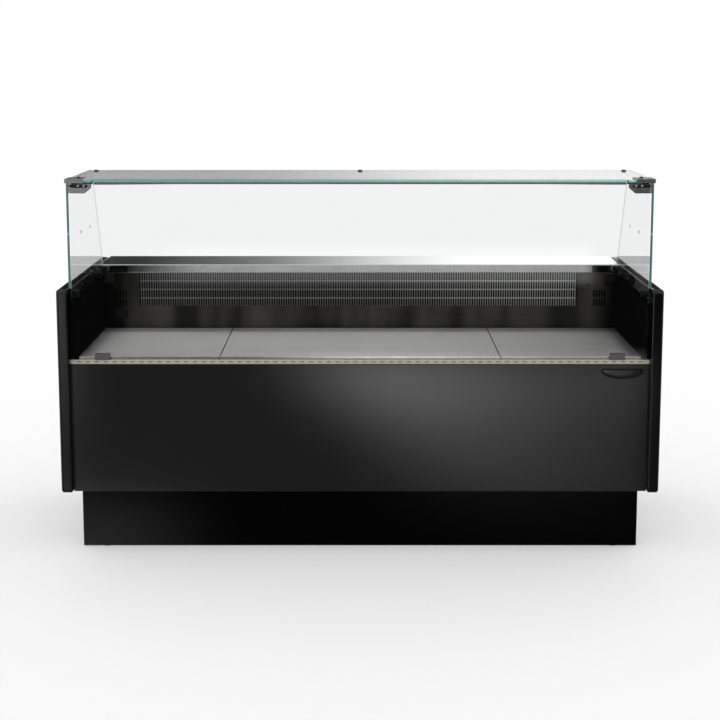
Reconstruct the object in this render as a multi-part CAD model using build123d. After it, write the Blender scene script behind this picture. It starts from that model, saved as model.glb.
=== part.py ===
from build123d import *
import os

# Refrigerated serve-over counter: +Z up, front towards -Y, origin on the floor under its middle.
# All sizes are in millimetres. A "depth" is measured back from the face of the front panel.

# Overall sizes
BODY_LENGTH = 2000.0
CASE_DEPTH = 810.0
END_THICKNESS = 37.0
FRONT_SETBACK = 35.0
SERVICE_DEPTH = 225.0
WORKTOP_Z = 950.0
DECK_Z = 705.0
TOP_GLASS_Z = 1320.0

# End panels
END_BOTTOM_Z = 231.0
END_TOP_Z = 947.0
END_CORNER_RADIUS = 14.0
END_OUTER_RADIUS = 9.0
END_INNER_RADIUS = 4.0

# Sheet metal
SHEET = 1.5
SKIN = 1.0
BEND_RADIUS = 3.0
JOINT_GAP = 0.5

# Front panel, ledge strip and plinth
FRONT_BOTTOM_Z = 228.0
FRONT_TOP_Z = 683.0
FRONT_FLANGE = 24.0
STRIP_HEIGHT = 14.0
STRIP_WALL = 2.5
LEDGE_DEPTH = 18.0
STRIP_SLOT_LENGTH = 15.5
STRIP_SLOT_HEIGHT = 3.5
STRIP_SLOT_PITCH = 30.8
STRIP_SLOT_MARGIN = 10.0
PLINTH_RECESS = 80.0
PLINTH_END_GAP = 13.0
PLINTH_FLOOR_GAP = 3.0
PLINTH_TOP_Z = 240.0
PLINTH_RETURN = 17.0

# Insulated tank
TANK_BOTTOM_Z = 480.0
INSULATION = 45.0
SIDE_WALL = 25.0
SIDE_WALL_TOP_Z = 894.0
DUCT_DEPTH = 30.0

# Slotted duct panel
GRILLE_BELOW_DECK = 14.0
SLOT_WIDTH = 9.0
SLOT_HEIGHT = 28.0
SLOT_PITCH = 20.0
SLOT_ROW_PITCH = 33.0
SLOT_ROWS = 4
SLOT_FIELD_MARGIN = 135.5
SLOT_FIELD_SHIFT = -7.0
SLOT_FIELD_DROP = 34.0
SIDE_GROUP_INSET = 59.0
SIDE_GROUP_PITCH = 17.0
SIDE_GROUP_ROWS = 2
SIDE_GROUP_SLOTS = 3
WALL_HOLE_RADIUS = 5.0
WALL_HOLE_INSET = 102.0
WALL_HOLE_DROP = 79.5

# Worktop
WORKTOP_LIP = 32.0
WORKTOP_LIP_PROUD = 8.0
WORKTOP_REAR_LIP = 40.0
WORKTOP_RETURN = 18.0
WORKTOP_REAR_GAP = 5.0
WORKTOP_OVERHANG = 25.0

# Deck trays and their bearers
TRAY_MODULES = (1, 2, 1)
TRAY_GAP = 1.5
TRAY_RIM = 12.0
TRAY_REAR_GAP = 10.0
BEARER_WIDTH = 25.0
BEARER_DEPTH = 30.0
BEARER_INSET = 8.0
BEARER_PLATE_GAP = 25.0

# Glass
TOP_GLASS = 8.0
SIDE_GLASS = 8.0
FRONT_GLASS = 6.0
TOP_GLASS_DEPTH = 425.0
TOP_GLASS_OVERHANG = 3.0
TOP_GLASS_CORNER = 8.0
SIDE_GLASS_CLEARANCE = 1.0
SIDE_GLASS_FRONT_GAP = 2.0
SIDE_GLASS_TOP_PROUD = 5.0
SIDE_GLASS_PAST_GRILLE = 50.0
SIDE_GLASS_TOP_GAP = 0.3
SIDE_GLASS_CORNER = 4.0
SHELF_HOLE_RADIUS = 6.0
SHELF_HOLE_Z = 1118.0
SHELF_HOLE_DEPTHS = (202.0, 365.0)
FRONT_GLASS_SIDE_GAP = 10.0
FRONT_GLASS_TOP_GAP = 6.0
FRONT_GLASS_LEDGE_GAP = 2.0
FRONT_GLASS_SETBACK = 2.0

# Glass hinges
HINGE_DROP = 13.0
PIN_RADIUS = 3.0
PIN_CLEARANCE = 0.05
ARM_PLATE = 3.0
ARM_LENGTH = 73.0
ARM_HEIGHT = 32.0
ARM_TIP_HEIGHT = 13.0
ARM_TAPER = 22.0
KNUCKLE_LENGTH = 28.0
NOTCH_GAP = 1.0
NOTCH_BELOW = 4.0
BRACKET_PLATE = 3.0
BRACKET_LENGTH = 64.0
BRACKET_DEPTH = 78.0
BRACKET_LIP_BELOW = 3.0
BRACKET_UNDER_SETBACK = 13.0
BRACKET_SIDE_GAP = 1.8
CAP_RADIUS = 7.0
CAP_HEIGHT = 3.5
CAP_STEM_RADIUS = 4.0
CAP_STEM_CLEARANCE = 0.5
CAP_DEPTH = 53.0
CAP_END_INSET = 38.0
REAR_CAP_RADIUS = 9.0
REAR_CAP_HEIGHT = 5.0
REAR_CAP_INSET = 55.0

# Front glass catches
CATCH_LENGTH = 52.0
CATCH_HEIGHT = 22.0
CATCH_WALL = 4.0
CATCH_RADIUS = 2.0
CATCH_END_INSET = 111.0
CATCH_FLOOR_GAP = 0.7

# Light bar
LIGHT_WIDTH = 18.0
LIGHT_HEIGHT = 10.0
LIGHT_WALL = 1.5
LIGHT_END_GAP = 5.0
LIGHT_FRONT_GAP = 9.0
DIFFUSER_HEIGHT = 3.0
DIFFUSER_CLEARANCE = 0.2
DIFFUSER_RADIUS = 1.0

# Clamp knobs and fixing buttons
KNOB_RADIUS = 12.0
KNOB_LENGTH = 12.0
KNOB_LOBES = 6
KNOB_LOBE_RADIUS = 3.0
KNOB_STEM_RADIUS = 4.0
KNOB_STEM_CLEARANCE = 0.2
KNOB_STEM_DEPTH = 14.0
KNOB_Z = 917.0
KNOB_FRONT_DEPTH = 72.0
KNOB_REAR_GAP = 47.0
LIP_KNOB_INSET = 30.0
LIP_KNOB_DROP = 15.0
BUTTON_RADIUS = 5.0
BUTTON_HEIGHT = 4.0
BUTTON_Z = 932.0
BUTTON_DEPTH = 190.0

# Corner brackets and probe cover on the duct panel
CORNER_BRACKET_WIDTH = 36.0
CORNER_BRACKET_HEIGHT = 46.0
CORNER_BRACKET_DEPTH = 28.0
CORNER_BRACKET_INSET = 3.0
CORNER_BRACKET_GAP = 2.0
CORNER_BRACKET_CHAMFER = 12.0
PROBE_WIDTH = 46.0
PROBE_HEIGHT = 30.0
PROBE_DEPTH = 9.0
PROBE_INSET = 62.0
PROBE_Z = 761.0
PROBE_RADIUS = 3.0

# Chassis of folded channel, and levelling feet
RAIL = 40.0
RAIL_WALL = 2.5
RAIL_BOTTOM_Z = 130.0
UNIT_BAY_HALF = 330.0
FOOT_INSET = 95.0
FOOT_SETBACK = 24.0
FOOT_PAD_RADIUS = 22.0
FOOT_PAD_HEIGHT = 10.0
FOOT_NECK_RADIUS = 12.0
FOOT_NECK_Z = 26.0
FOOT_COLLAR_Z = 40.0
FOOT_STEM_RADIUS = 8.0
FOOT_STEM_ENGAGED = 30.0
FOOT_CLEARANCE = 0.08
FOOT_NUT_RADIUS = 14.0
FOOT_NUT_HEIGHT = 18.0

# Rear panels and control fascia
FASCIA_HEIGHT = 92.0
PANEL_SEAM = 2.0
PANEL_FLANGE = 14.0
LOUVRE_LENGTH = 130.0
LOUVRE_HEIGHT = 6.0
LOUVRE_COLUMNS = 4
LOUVRE_ROWS = 9
LOUVRE_COLUMN_PITCH = 150.0
LOUVRE_ROW_PITCH = 22.0
LOUVRE_Z = 345.0
SCREW_RADIUS = 5.0
SCREW_HEIGHT = 2.5
SCREW_SIDES = 6
SCREW_INSET = 20.0
GLAND_INSET = 380.0
GLAND_Z = 300.0
GLAND_RADIUS = 12.0
GLAND_CROWN = 4.0
GLAND_NUT_RADIUS = 15.0
GLAND_NUT_SIDES = 6
GLAND_NUT_LENGTH = 8.0
GLAND_DOME_LENGTH = 14.0
GLAND_BORE_RADIUS = 5.0
GLAND_INNER_LENGTH = 12.0

# Controller and switches
CONTROL_INSET = 400.0
CONTROLLER_WIDTH = 78.0
CONTROLLER_HEIGHT = 37.0
CONTROLLER_BEZEL = 5.0
CONTROLLER_RADIUS = 2.5
CONTROLLER_BODY_WIDTH = 70.0
CONTROLLER_BODY_HEIGHT = 28.0
CONTROLLER_BODY_DEPTH = 50.0
CUTOUT_CLEARANCE = 0.4
WINDOW_WIDTH = 42.0
WINDOW_HEIGHT = 20.0
WINDOW_DEPTH = 1.5
WINDOW_OFFSET = 10.0
WINDOW_CLEARANCE = 0.2
KEY_WIDTH = 9.0
KEY_HEIGHT = 5.0
KEY_OFFSET = 26.0
KEY_PITCH = 12.0
KEY_CLEARANCE = 0.25
KEY_POCKET = 4.0
KEY_PROUD = 1.0
KEY_RADIUS = 0.5
KEY_LENGTH = 3.5
SWITCH_OFFSETS = (100.0, 140.0)
SWITCH_WIDTH = 22.0
SWITCH_HEIGHT = 31.0
SWITCH_BEZEL = 2.5
SWITCH_RADIUS = 2.5
SWITCH_BODY_WIDTH = 19.0
SWITCH_BODY_HEIGHT = 28.0
SWITCH_BODY_DEPTH = 22.0
ROCKER_WIDTH = 13.0
ROCKER_HALF = 11.0
ROCKER_BACK = 3.5
ROCKER_FRONT = 4.5
ROCKER_DIP = 2.0
ROCKER_PIVOT_DEPTH = 2.0
ROCKER_TILT = 8.0
ROCKER_CLEARANCE = 0.4
ROCKER_ROOM = 1.8
ROCKER_PIN_RADIUS = 1.5
ROCKER_PIN_LENGTH = 1.5
ROCKER_PIN_CLEARANCE = 0.05

# Evaporator
COIL_END_ROOM = 155.0
COIL_DEPTH = 140.0
COIL_HEIGHT = 120.0
COIL_SETBACK = 145.0
COIL_FLOOR_GAP = 10.0
COIL_FIN = 1.5
COIL_FINS = 60
COIL_FIN_PROUD = 9.0
COIL_END_PLATE = 2.0
COIL_TUBE_RADIUS = 6.0
COIL_BEND_RADIUS = 18.0
COIL_BENDS = 3
COIL_BEND_PITCH = 38.0

# Fans and their motors
FAN_PLATE_GAP = 90.0
FAN_INSET = 565.0
FAN_Z_ABOVE_FLOOR = 84.0
FAN_TIP_RADIUS = 68.0
FAN_HUB_RADIUS = 25.0
CONDENSER_FAN_TIP_RADIUS = 95.0
CONDENSER_FAN_HUB_RADIUS = 34.0
FAN_HUB_LENGTH = 22.0
FAN_HUB_SINK = 3.0
FAN_BLADES = 5
FAN_CHORD_ROOT = 22.0
FAN_CHORD_TIP = 40.0
FAN_BLADE = 2.0
FAN_PITCH_ROOT = 45.0
FAN_PITCH_TIP = 28.0
FAN_TIP_GAP = 4.0
FAN_SHAFT_RADIUS = 4.0
FAN_SHAFT_CLEARANCE = 0.05
FAN_SHAFT_LENGTH = 16.0
MOTOR_RADIUS = 30.0
MOTOR_LENGTH = 42.0
MOTOR_GAP = 5.0
MOTOR_EDGE = 4.0
SPIDER_ARMS = 4
SPIDER_WIDTH = 8.0
SPIDER_THICKNESS = 4.0
SPIDER_OVERLAP = 10.0

# Condensing unit
UNIT_BASE_OVERLAP = 15.0
UNIT_BASE_DEPTH = 485.0
UNIT_BASE_RIM = 18.0
COMPRESSOR_RADIUS = 82.0
COMPRESSOR_HEIGHT = 180.0
COMPRESSOR_DOME = 40.0
COMPRESSOR_X = 0.0
COMPRESSOR_GAP = 192.0
COMPRESSOR_FOOT = 12.0
COMPRESSOR_FOOT_LENGTH = 190.0
COMPRESSOR_FOOT_WIDTH = 110.0
TERMINAL_BOX = 60.0
TERMINAL_BOX_DEPTH = 32.0
CONDENSER_HALF = 175.0
CONDENSER_HEIGHT = 225.0
CONDENSER_DEPTH = 44.0
CONDENSER_REAR_GAP = 12.0
CONDENSER_FINS = 30
CONDENSER_FIN_PROUD = 5.0
SHROUD_DEPTH = 45.0

# Refrigerant pipes
PIPE_RADIUS = 5.0
PIPE_BEND = 24.0
PIPE_SLEEVE_CLEARANCE = 1.0
LIQUID_GAP = 48.0
SUCTION_GAP = 78.0
PIPE_RUN_Z = 400.0
SUCTION_ABOVE_FLOOR = 100.0
LIQUID_ABOVE_FLOOR = 52.0
SUCTION_ABOVE_BASE = 110.0
LIQUID_ABOVE_BASE = 66.0
DRIER_RADIUS = 14.0
DRIER_LENGTH = 110.0
DRIER_SETBACK = 310.0

# Electrical box, drain pipe and condensate tray
BOX_WIDTH = 280.0
BOX_HEIGHT = 180.0
BOX_DEPTH = 62.0
BOX_INSET = 360.0
BOX_ABOVE_TANK = 120.0
BOX_RADIUS = 6.0
DRAIN_PLATE_GAP = 45.0
DRAIN_RADIUS = 14.0
DRAIN_BORE = 11.0
DRAIN_FLANGE_RADIUS = 24.0
DRAIN_FLANGE = 3.0
DRAIN_TRAY_LENGTH = 260.0
DRAIN_TRAY_DEPTH = 180.0
DRAIN_TRAY_HEIGHT = 60.0
DRAIN_TRAY_WALL = 3.0
DRAIN_TRAY_GAP = 20.0
DRAIN_DROP = 40.0

# Places worked out from the sizes above
HALF = BODY_LENGTH / 2
Y_END_FRONT = -CASE_DEPTH / 2
Y_FRONT = Y_END_FRONT + FRONT_SETBACK
Y_LEDGE_BACK = Y_FRONT + LEDGE_DEPTH
Y_WORKTOP_BACK = CASE_DEPTH / 2 - WORKTOP_REAR_GAP
Y_GRILLE = Y_WORKTOP_BACK - SERVICE_DEPTH
Y_LIP = Y_GRILLE - WORKTOP_LIP_PROUD
Y_REAR = Y_WORKTOP_BACK - WORKTOP_OVERHANG
Y_REAR_FACE = Y_REAR + SHEET
X_WALL = HALF - SIDE_WALL
X_FACE = HALF - JOINT_GAP
X_PLINTH = HALF - PLINTH_END_GAP
X_CHASSIS = X_PLINTH - SHEET
X_SIDE_GLASS = HALF - SIDE_GLASS_CLEARANCE - SIDE_GLASS
X_WORKTOP = X_SIDE_GLASS - JOINT_GAP
X_TOP_GLASS = HALF + TOP_GLASS_OVERHANG
X_CAP = X_TOP_GLASS - CAP_END_INSET
X_LIP_KNOB = HALF - LIP_KNOB_INSET
LIP_KNOB_Z = WORKTOP_Z - LIP_KNOB_DROP
KNOB_YS = (Y_FRONT + KNOB_FRONT_DEPTH, Y_GRILLE - KNOB_REAR_GAP)
Y_TANK_FRONT = Y_FRONT + FRONT_FLANGE
TANK_WALL = SKIN + INSULATION + SKIN
Y_TANK_BACK = Y_GRILLE + SHEET + DUCT_DEPTH + TANK_WALL
TANK_FLOOR_Z = TANK_BOTTOM_Z + TANK_WALL
WORKTOP_UNDER_Z = WORKTOP_Z - SHEET
LEDGE_Z = FRONT_TOP_Z + STRIP_HEIGHT
TRAY_UNDER_Z = DECK_Z - SHEET
Y_TRAY_FRONT = Y_LEDGE_BACK + TRAY_GAP
Y_TRAY_BACK = Y_GRILLE - TRAY_REAR_GAP
Y_PLINTH = Y_FRONT + PLINTH_RECESS
Y_CHASSIS_FRONT = Y_PLINTH + SHEET
CROSS_BOTTOM_Z = RAIL_BOTTOM_Z + RAIL
CROSS_TOP_Z = CROSS_BOTTOM_Z + RAIL
BEAM_BOTTOM_Z = TANK_BOTTOM_Z - RAIL
CROSS_XS = (RAIL / 2 - X_CHASSIS, -UNIT_BAY_HALF, UNIT_BAY_HALF, X_CHASSIS - RAIL / 2)
FOOT_XS = (FOOT_INSET - HALF, HALF - FOOT_INSET)
FOOT_YS = (Y_CHASSIS_FRONT + FOOT_SETBACK, Y_REAR - FOOT_SETBACK)
FASCIA_TOP_Z = WORKTOP_Z - WORKTOP_REAR_LIP - PANEL_SEAM
FASCIA_BOTTOM_Z = FASCIA_TOP_Z - FASCIA_HEIGHT
PANEL_TOP_Z = FASCIA_BOTTOM_Z - PANEL_SEAM
CONTROL_Z = (FASCIA_TOP_Z + FASCIA_BOTTOM_Z) / 2
CONTROL_X = HALF - CONTROL_INSET
GLAND_X = GLAND_INSET - HALF
SWITCH_XS = [CONTROL_X + shift for shift in SWITCH_OFFSETS]
KEY_ZS = (CONTROL_Z + KEY_PITCH / 2, CONTROL_Z - KEY_PITCH / 2)
Y_ROCKER = Y_REAR_FACE + SWITCH_BEZEL - ROCKER_PIVOT_DEPTH
Y_FRONT_GLASS = Y_FRONT + FRONT_GLASS_SETBACK
Y_FRONT_GLASS_BACK = Y_FRONT_GLASS + FRONT_GLASS
HINGE_Y = Y_FRONT_GLASS + FRONT_GLASS / 2
TOP_GLASS_UNDER_Z = TOP_GLASS_Z - TOP_GLASS
HINGE_Z = TOP_GLASS_UNDER_Z - HINGE_DROP
FRONT_GLASS_TOP_Z = TOP_GLASS_UNDER_Z - FRONT_GLASS_TOP_GAP
FRONT_GLASS_BOTTOM_Z = LEDGE_Z + FRONT_GLASS_LEDGE_GAP
X_FRONT_GLASS = HALF - FRONT_GLASS_SIDE_GAP
X_KNUCKLE = X_SIDE_GLASS - BRACKET_PLATE - BRACKET_SIDE_GAP
X_KNUCKLE_INNER = X_KNUCKLE - KNUCKLE_LENGTH
X_ARM_END = X_KNUCKLE - ARM_LENGTH
ARM_BOTTOM_Z = FRONT_GLASS_TOP_Z - ARM_HEIGHT
X_LIGHT = X_ARM_END - LIGHT_END_GAP
Y_LIGHT = Y_FRONT_GLASS_BACK + ARM_PLATE + LIGHT_FRONT_GAP
LIGHT_BOTTOM_Z = TOP_GLASS_UNDER_Z - LIGHT_HEIGHT
COIL_HALF = X_WALL - COIL_END_ROOM
COIL_Y = Y_GRILLE - COIL_SETBACK
FAN_PLATE_Y = COIL_Y - COIL_DEPTH / 2 - FAN_PLATE_GAP
FAN_X = X_WALL - FAN_INSET
FAN_Z = TANK_FLOOR_Z + FAN_Z_ABOVE_FLOOR
COIL_Z = TANK_FLOOR_Z + COIL_FLOOR_GAP + COIL_HEIGHT / 2
X_COIL_FACE = COIL_HALF + COIL_END_PLATE
UNIT_FLOOR_Z = CROSS_TOP_Z + SHEET
Y_CONDENSER_BACK = Y_REAR - RAIL - CONDENSER_REAR_GAP
Y_SHROUD_BACK = Y_CONDENSER_BACK - CONDENSER_DEPTH
Y_SHROUD_FRONT = Y_SHROUD_BACK - SHROUD_DEPTH
Y_CONDENSER = (Y_SHROUD_BACK + Y_CONDENSER_BACK) / 2
CONDENSER_Z = UNIT_FLOOR_Z + CONDENSER_HEIGHT / 2
COMPRESSOR_Y = Y_SHROUD_FRONT - COMPRESSOR_GAP - COMPRESSOR_RADIUS
LIQUID_X = X_COIL_FACE + LIQUID_GAP
SUCTION_X = X_COIL_FACE + SUCTION_GAP
DRIER_X = LIQUID_X - DRIER_SETBACK
BOX_X = HALF - BOX_INSET
BOX_Z = TANK_BOTTOM_Z + BOX_ABOVE_TANK
DRAIN_X = -UNIT_BAY_HALF - RAIL / 2 - DRAIN_TRAY_GAP - DRAIN_TRAY_LENGTH / 2
DRAIN_Y = FAN_PLATE_Y - DRAIN_PLATE_GAP


# Shared forms
def block(x, y, z):
    """A straight block between three pairs of coordinates."""
    size = Box(x[1] - x[0], y[1] - y[0], z[1] - z[0])
    return Pos(sum(x) / 2, sum(y) / 2, sum(z) / 2) * size


def along_x(face, x_from, x_to):
    """A face drawn in (y, z) carried along X."""
    return Pos(x_from, 0, 0) * extrude(Plane.YZ * face, x_to - x_from)


def outline_face(points):
    return make_face(Polyline(*points, close=True))


def folded_along_x(path, side, x_from, x_to, thickness=SHEET):
    """A bent sheet: a path in (y, z) with rolled corners, thickened to one side and carried along X."""
    bent = FilletPolyline(*path, radius=BEND_RADIUS)
    section = offset(bent, thickness, kind=Kind.INTERSECTION, side=side, closed=True)
    return along_x(make_face(section), x_from, x_to)


def plate_xz(sketch, y_from, y_to):
    """A flat sketch in (x, z) thickened between two depths."""
    return Pos(0, y_to, 0) * extrude(Plane.XZ * sketch, y_to - y_from)


def rectangle_at(width, height, x, z):
    return Pos(x, z) * Rectangle(width, height)


def rod(radius, start, end):
    """A round bar between two points."""
    start, end = Vector(*start), Vector(*end)
    plane = Plane(origin=start, z_dir=end - start)
    return extrude(plane * Circle(radius), (end - start).length)


def channel(origin, x_dir, z_dir, length):
    """A C-channel: its web starts at the origin and its open side faces x_dir."""
    outline = [
        (0, 0), (RAIL, 0), (RAIL, RAIL_WALL), (RAIL_WALL, RAIL_WALL),
        (RAIL_WALL, RAIL - RAIL_WALL), (RAIL, RAIL - RAIL_WALL), (RAIL, RAIL), (0, RAIL),
    ]
    plane = Plane(origin=origin, x_dir=x_dir, z_dir=z_dir)
    return extrude(plane * outline_face(outline), length)


def bevelled_disc(radius, height, crown):
    """A disc on the XY plane with its upper rim bevelled."""
    disc = Pos(0, 0, height / 2) * Cylinder(radius, height)
    return chamfer(disc.edges().group_by(Axis.Z)[-1], crown)


def mirrored(shape):
    return mirror(shape, about=Plane.YZ)


def group(*shapes):
    """Separate solids kept together as one sub-part."""
    return Compound(children=[solid for shape in shapes for solid in shape.solids()])


def pair(shape):
    """A right-hand piece and its left-hand twin."""
    return group(shape, mirrored(shape))


# Case
def end_panel():
    """Right end panel, with round corners in side view and softened rims."""
    panel = block((HALF, HALF + END_THICKNESS), (Y_END_FRONT, CASE_DEPTH / 2), (END_BOTTOM_Z, END_TOP_Z))
    panel = fillet(panel.edges().filter_by(Axis.X), END_CORNER_RADIUS)
    panel = fillet(panel.faces().sort_by(Axis.X)[-1].edges(), END_OUTER_RADIUS)
    panel = fillet(panel.faces().sort_by(Axis.X)[0].edges(), END_INNER_RADIUS)
    reach = HALF + KNOB_STEM_DEPTH + KNOB_STEM_CLEARANCE
    for y in KNOB_YS:
        panel -= rod(KNOB_STEM_RADIUS + KNOB_STEM_CLEARANCE, (HALF, y, KNOB_Z), (reach, y, KNOB_Z))
    return panel


def front_panel():
    """Front pan, flanged back to the tank at top and bottom."""
    path = [
        (Y_TANK_FRONT, FRONT_BOTTOM_Z), (Y_FRONT, FRONT_BOTTOM_Z),
        (Y_FRONT, FRONT_TOP_Z), (Y_TANK_FRONT, FRONT_TOP_Z),
    ]
    return folded_along_x(path, Side.RIGHT, -X_FACE, X_FACE)


def front_strip():
    """Slotted strip along the front, whose top is the ledge under the front glass."""
    path = [(Y_FRONT, FRONT_TOP_Z), (Y_FRONT, LEDGE_Z), (Y_LEDGE_BACK, LEDGE_Z), (Y_LEDGE_BACK, FRONT_TOP_Z)]
    strip = folded_along_x(path, Side.RIGHT, -X_FACE, X_FACE, STRIP_WALL)
    count = int((2 * X_FACE - 2 * STRIP_SLOT_MARGIN) // STRIP_SLOT_PITCH)
    slot_z = FRONT_TOP_Z + STRIP_HEIGHT / 2
    places = GridLocations(STRIP_SLOT_PITCH, STRIP_SLOT_PITCH, count, 1)
    slots = Sketch() + [place * Rectangle(STRIP_SLOT_LENGTH, STRIP_SLOT_HEIGHT) for place in places]
    return strip - plate_xz(Pos(0, slot_z) * slots, Y_FRONT, Y_FRONT + STRIP_WALL)


def plinth_front():
    """Recessed kick plate, its top return notched round the chassis posts."""
    path = [
        (Y_PLINTH, PLINTH_FLOOR_GAP), (Y_PLINTH, PLINTH_TOP_Z), (Y_PLINTH + PLINTH_RETURN, PLINTH_TOP_Z),
    ]
    sheet = folded_along_x(path, Side.RIGHT, -X_PLINTH, X_PLINTH)
    for x in CROSS_XS:
        post_x = (x - RAIL / 2 - JOINT_GAP, x + RAIL / 2 + JOINT_GAP)
        sheet -= block(post_x, (Y_CHASSIS_FRONT, Y_CHASSIS_FRONT + RAIL), (CROSS_TOP_Z, PLINTH_TOP_Z))
    return sheet


def plinth_returns():
    """Kick plates along both ends and the rear, which end below the rear panels."""
    heights = (PLINTH_FLOOR_GAP, FRONT_BOTTOM_Z - PANEL_SEAM)
    side = block((X_CHASSIS, X_PLINTH), (Y_CHASSIS_FRONT, Y_REAR), heights)
    rear = block((-X_PLINTH, X_PLINTH), (Y_REAR, Y_REAR_FACE), heights)
    return group(side, mirrored(side), rear)


def lip_knob_holes(y_from, y_to):
    radius = KNOB_STEM_RADIUS + KNOB_STEM_CLEARANCE
    return [rod(radius, (x, y_from, LIP_KNOB_Z), (x, y_to, LIP_KNOB_Z)) for x in (-X_LIP_KNOB, X_LIP_KNOB)]


def worktop():
    """Service worktop with a turned-down lip over the duct panel and a deeper one at the rear."""
    lip_z = WORKTOP_Z - WORKTOP_LIP
    rear_z = WORKTOP_Z - WORKTOP_REAR_LIP
    path = [
        (Y_GRILLE, lip_z), (Y_LIP, lip_z), (Y_LIP, WORKTOP_Z), (Y_WORKTOP_BACK, WORKTOP_Z),
        (Y_WORKTOP_BACK, rear_z), (Y_WORKTOP_BACK - WORKTOP_RETURN, rear_z),
    ]
    sheet = folded_along_x(path, Side.RIGHT, -X_WORKTOP, X_WORKTOP)
    return sheet - lip_knob_holes(Y_LIP, Y_LIP + SHEET)


# Chassis and feet
def chassis_frame():
    """Welded ladder of channels with front and rear posts, beams under the tank and a top rail."""
    length = 2 * X_CHASSIS
    parts = [
        channel((-X_CHASSIS, Y_CHASSIS_FRONT, RAIL_BOTTOM_Z), (0, 1, 0), (1, 0, 0), length),
        channel((X_CHASSIS, Y_REAR, RAIL_BOTTOM_Z), (0, -1, 0), (-1, 0, 0), length),
        channel((X_CHASSIS, Y_REAR, WORKTOP_UNDER_Z - RAIL), (0, -1, 0), (-1, 0, 0), length),
    ]
    run = Y_REAR - Y_CHASSIS_FRONT
    front_post = BEAM_BOTTOM_Z - CROSS_TOP_Z
    rear_post = WORKTOP_UNDER_Z - RAIL - CROSS_TOP_Z
    for x in CROSS_XS:
        left = x - RAIL / 2
        parts.append(channel((left, Y_CHASSIS_FRONT, CROSS_TOP_Z), (1, 0, 0), (0, 1, 0), run))
        parts.append(channel((left, Y_CHASSIS_FRONT, TANK_BOTTOM_Z), (1, 0, 0), (0, 1, 0), run))
        parts.append(channel((left, Y_CHASSIS_FRONT, CROSS_TOP_Z), (1, 0, 0), (0, 0, 1), front_post))
        parts.append(channel((left, Y_REAR - RAIL, CROSS_TOP_Z), (1, 0, 0), (0, 0, 1), rear_post))
    nut_top = RAIL_BOTTOM_Z + RAIL_WALL + FOOT_NUT_HEIGHT
    places = [(x, y) for x in FOOT_XS for y in FOOT_YS]
    nuts = [rod(FOOT_NUT_RADIUS, (x, y, RAIL_BOTTOM_Z), (x, y, nut_top)) for x, y in places]
    bore = FOOT_STEM_RADIUS + FOOT_CLEARANCE
    bores = [rod(bore, (x, y, RAIL_BOTTOM_Z), (x, y, nut_top)) for x, y in places]
    return Part() + parts + nuts - bores


def levelling_foot(x, y):
    """Turned foot: pad, cone, collar and a stem that screws into the chassis nut."""
    top = RAIL_BOTTOM_Z + FOOT_STEM_ENGAGED
    outline = [
        (0, 0), (FOOT_PAD_RADIUS, 0), (FOOT_PAD_RADIUS, FOOT_PAD_HEIGHT), (FOOT_NECK_RADIUS, FOOT_NECK_Z),
        (FOOT_NECK_RADIUS, FOOT_COLLAR_Z), (FOOT_STEM_RADIUS, FOOT_COLLAR_Z), (FOOT_STEM_RADIUS, top), (0, top),
    ]
    return Pos(x, y, 0) * revolve(Plane.XZ * outline_face(outline), Axis.Z)


# Insulated tank
def tank_layer(outer, inner):
    """One layer of the trough between two distances in from its outside."""
    def trough(inset):
        floor = TANK_BOTTOM_Z + inset
        front, back = Y_TANK_FRONT + inset, Y_TANK_BACK - inset
        return [(front, FRONT_TOP_Z), (front, floor), (back, floor), (back, WORKTOP_UNDER_Z)]

    layer = along_x(outline_face(trough(outer) + trough(inner)[::-1]), -X_WALL, X_WALL)
    sleeve = PIPE_RADIUS + PIPE_SLEEVE_CLEARANCE
    for radius, x, y in (
        (sleeve, LIQUID_X, COIL_Y), (sleeve, SUCTION_X, COIL_Y), (DRAIN_RADIUS, DRAIN_X, DRAIN_Y),
    ):
        layer -= rod(radius, (x, y, TANK_BOTTOM_Z), (x, y, TANK_FLOOR_Z))
    return layer


def side_liner():
    """Right inner wall, which closes the tank's end and carries the side glass."""
    nose = Y_FRONT_GLASS_BACK + FRONT_GLASS_LEDGE_GAP
    outline = [
        (Y_TANK_FRONT, TANK_BOTTOM_Z), (Y_TANK_BACK, TANK_BOTTOM_Z), (Y_TANK_BACK, SIDE_WALL_TOP_Z),
        (nose, SIDE_WALL_TOP_Z), (nose, LEDGE_Z), (Y_LEDGE_BACK, LEDGE_Z),
        (Y_LEDGE_BACK, FRONT_TOP_Z), (Y_TANK_FRONT, FRONT_TOP_Z),
    ]
    return along_x(outline_face(outline), X_WALL, HALF)


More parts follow.
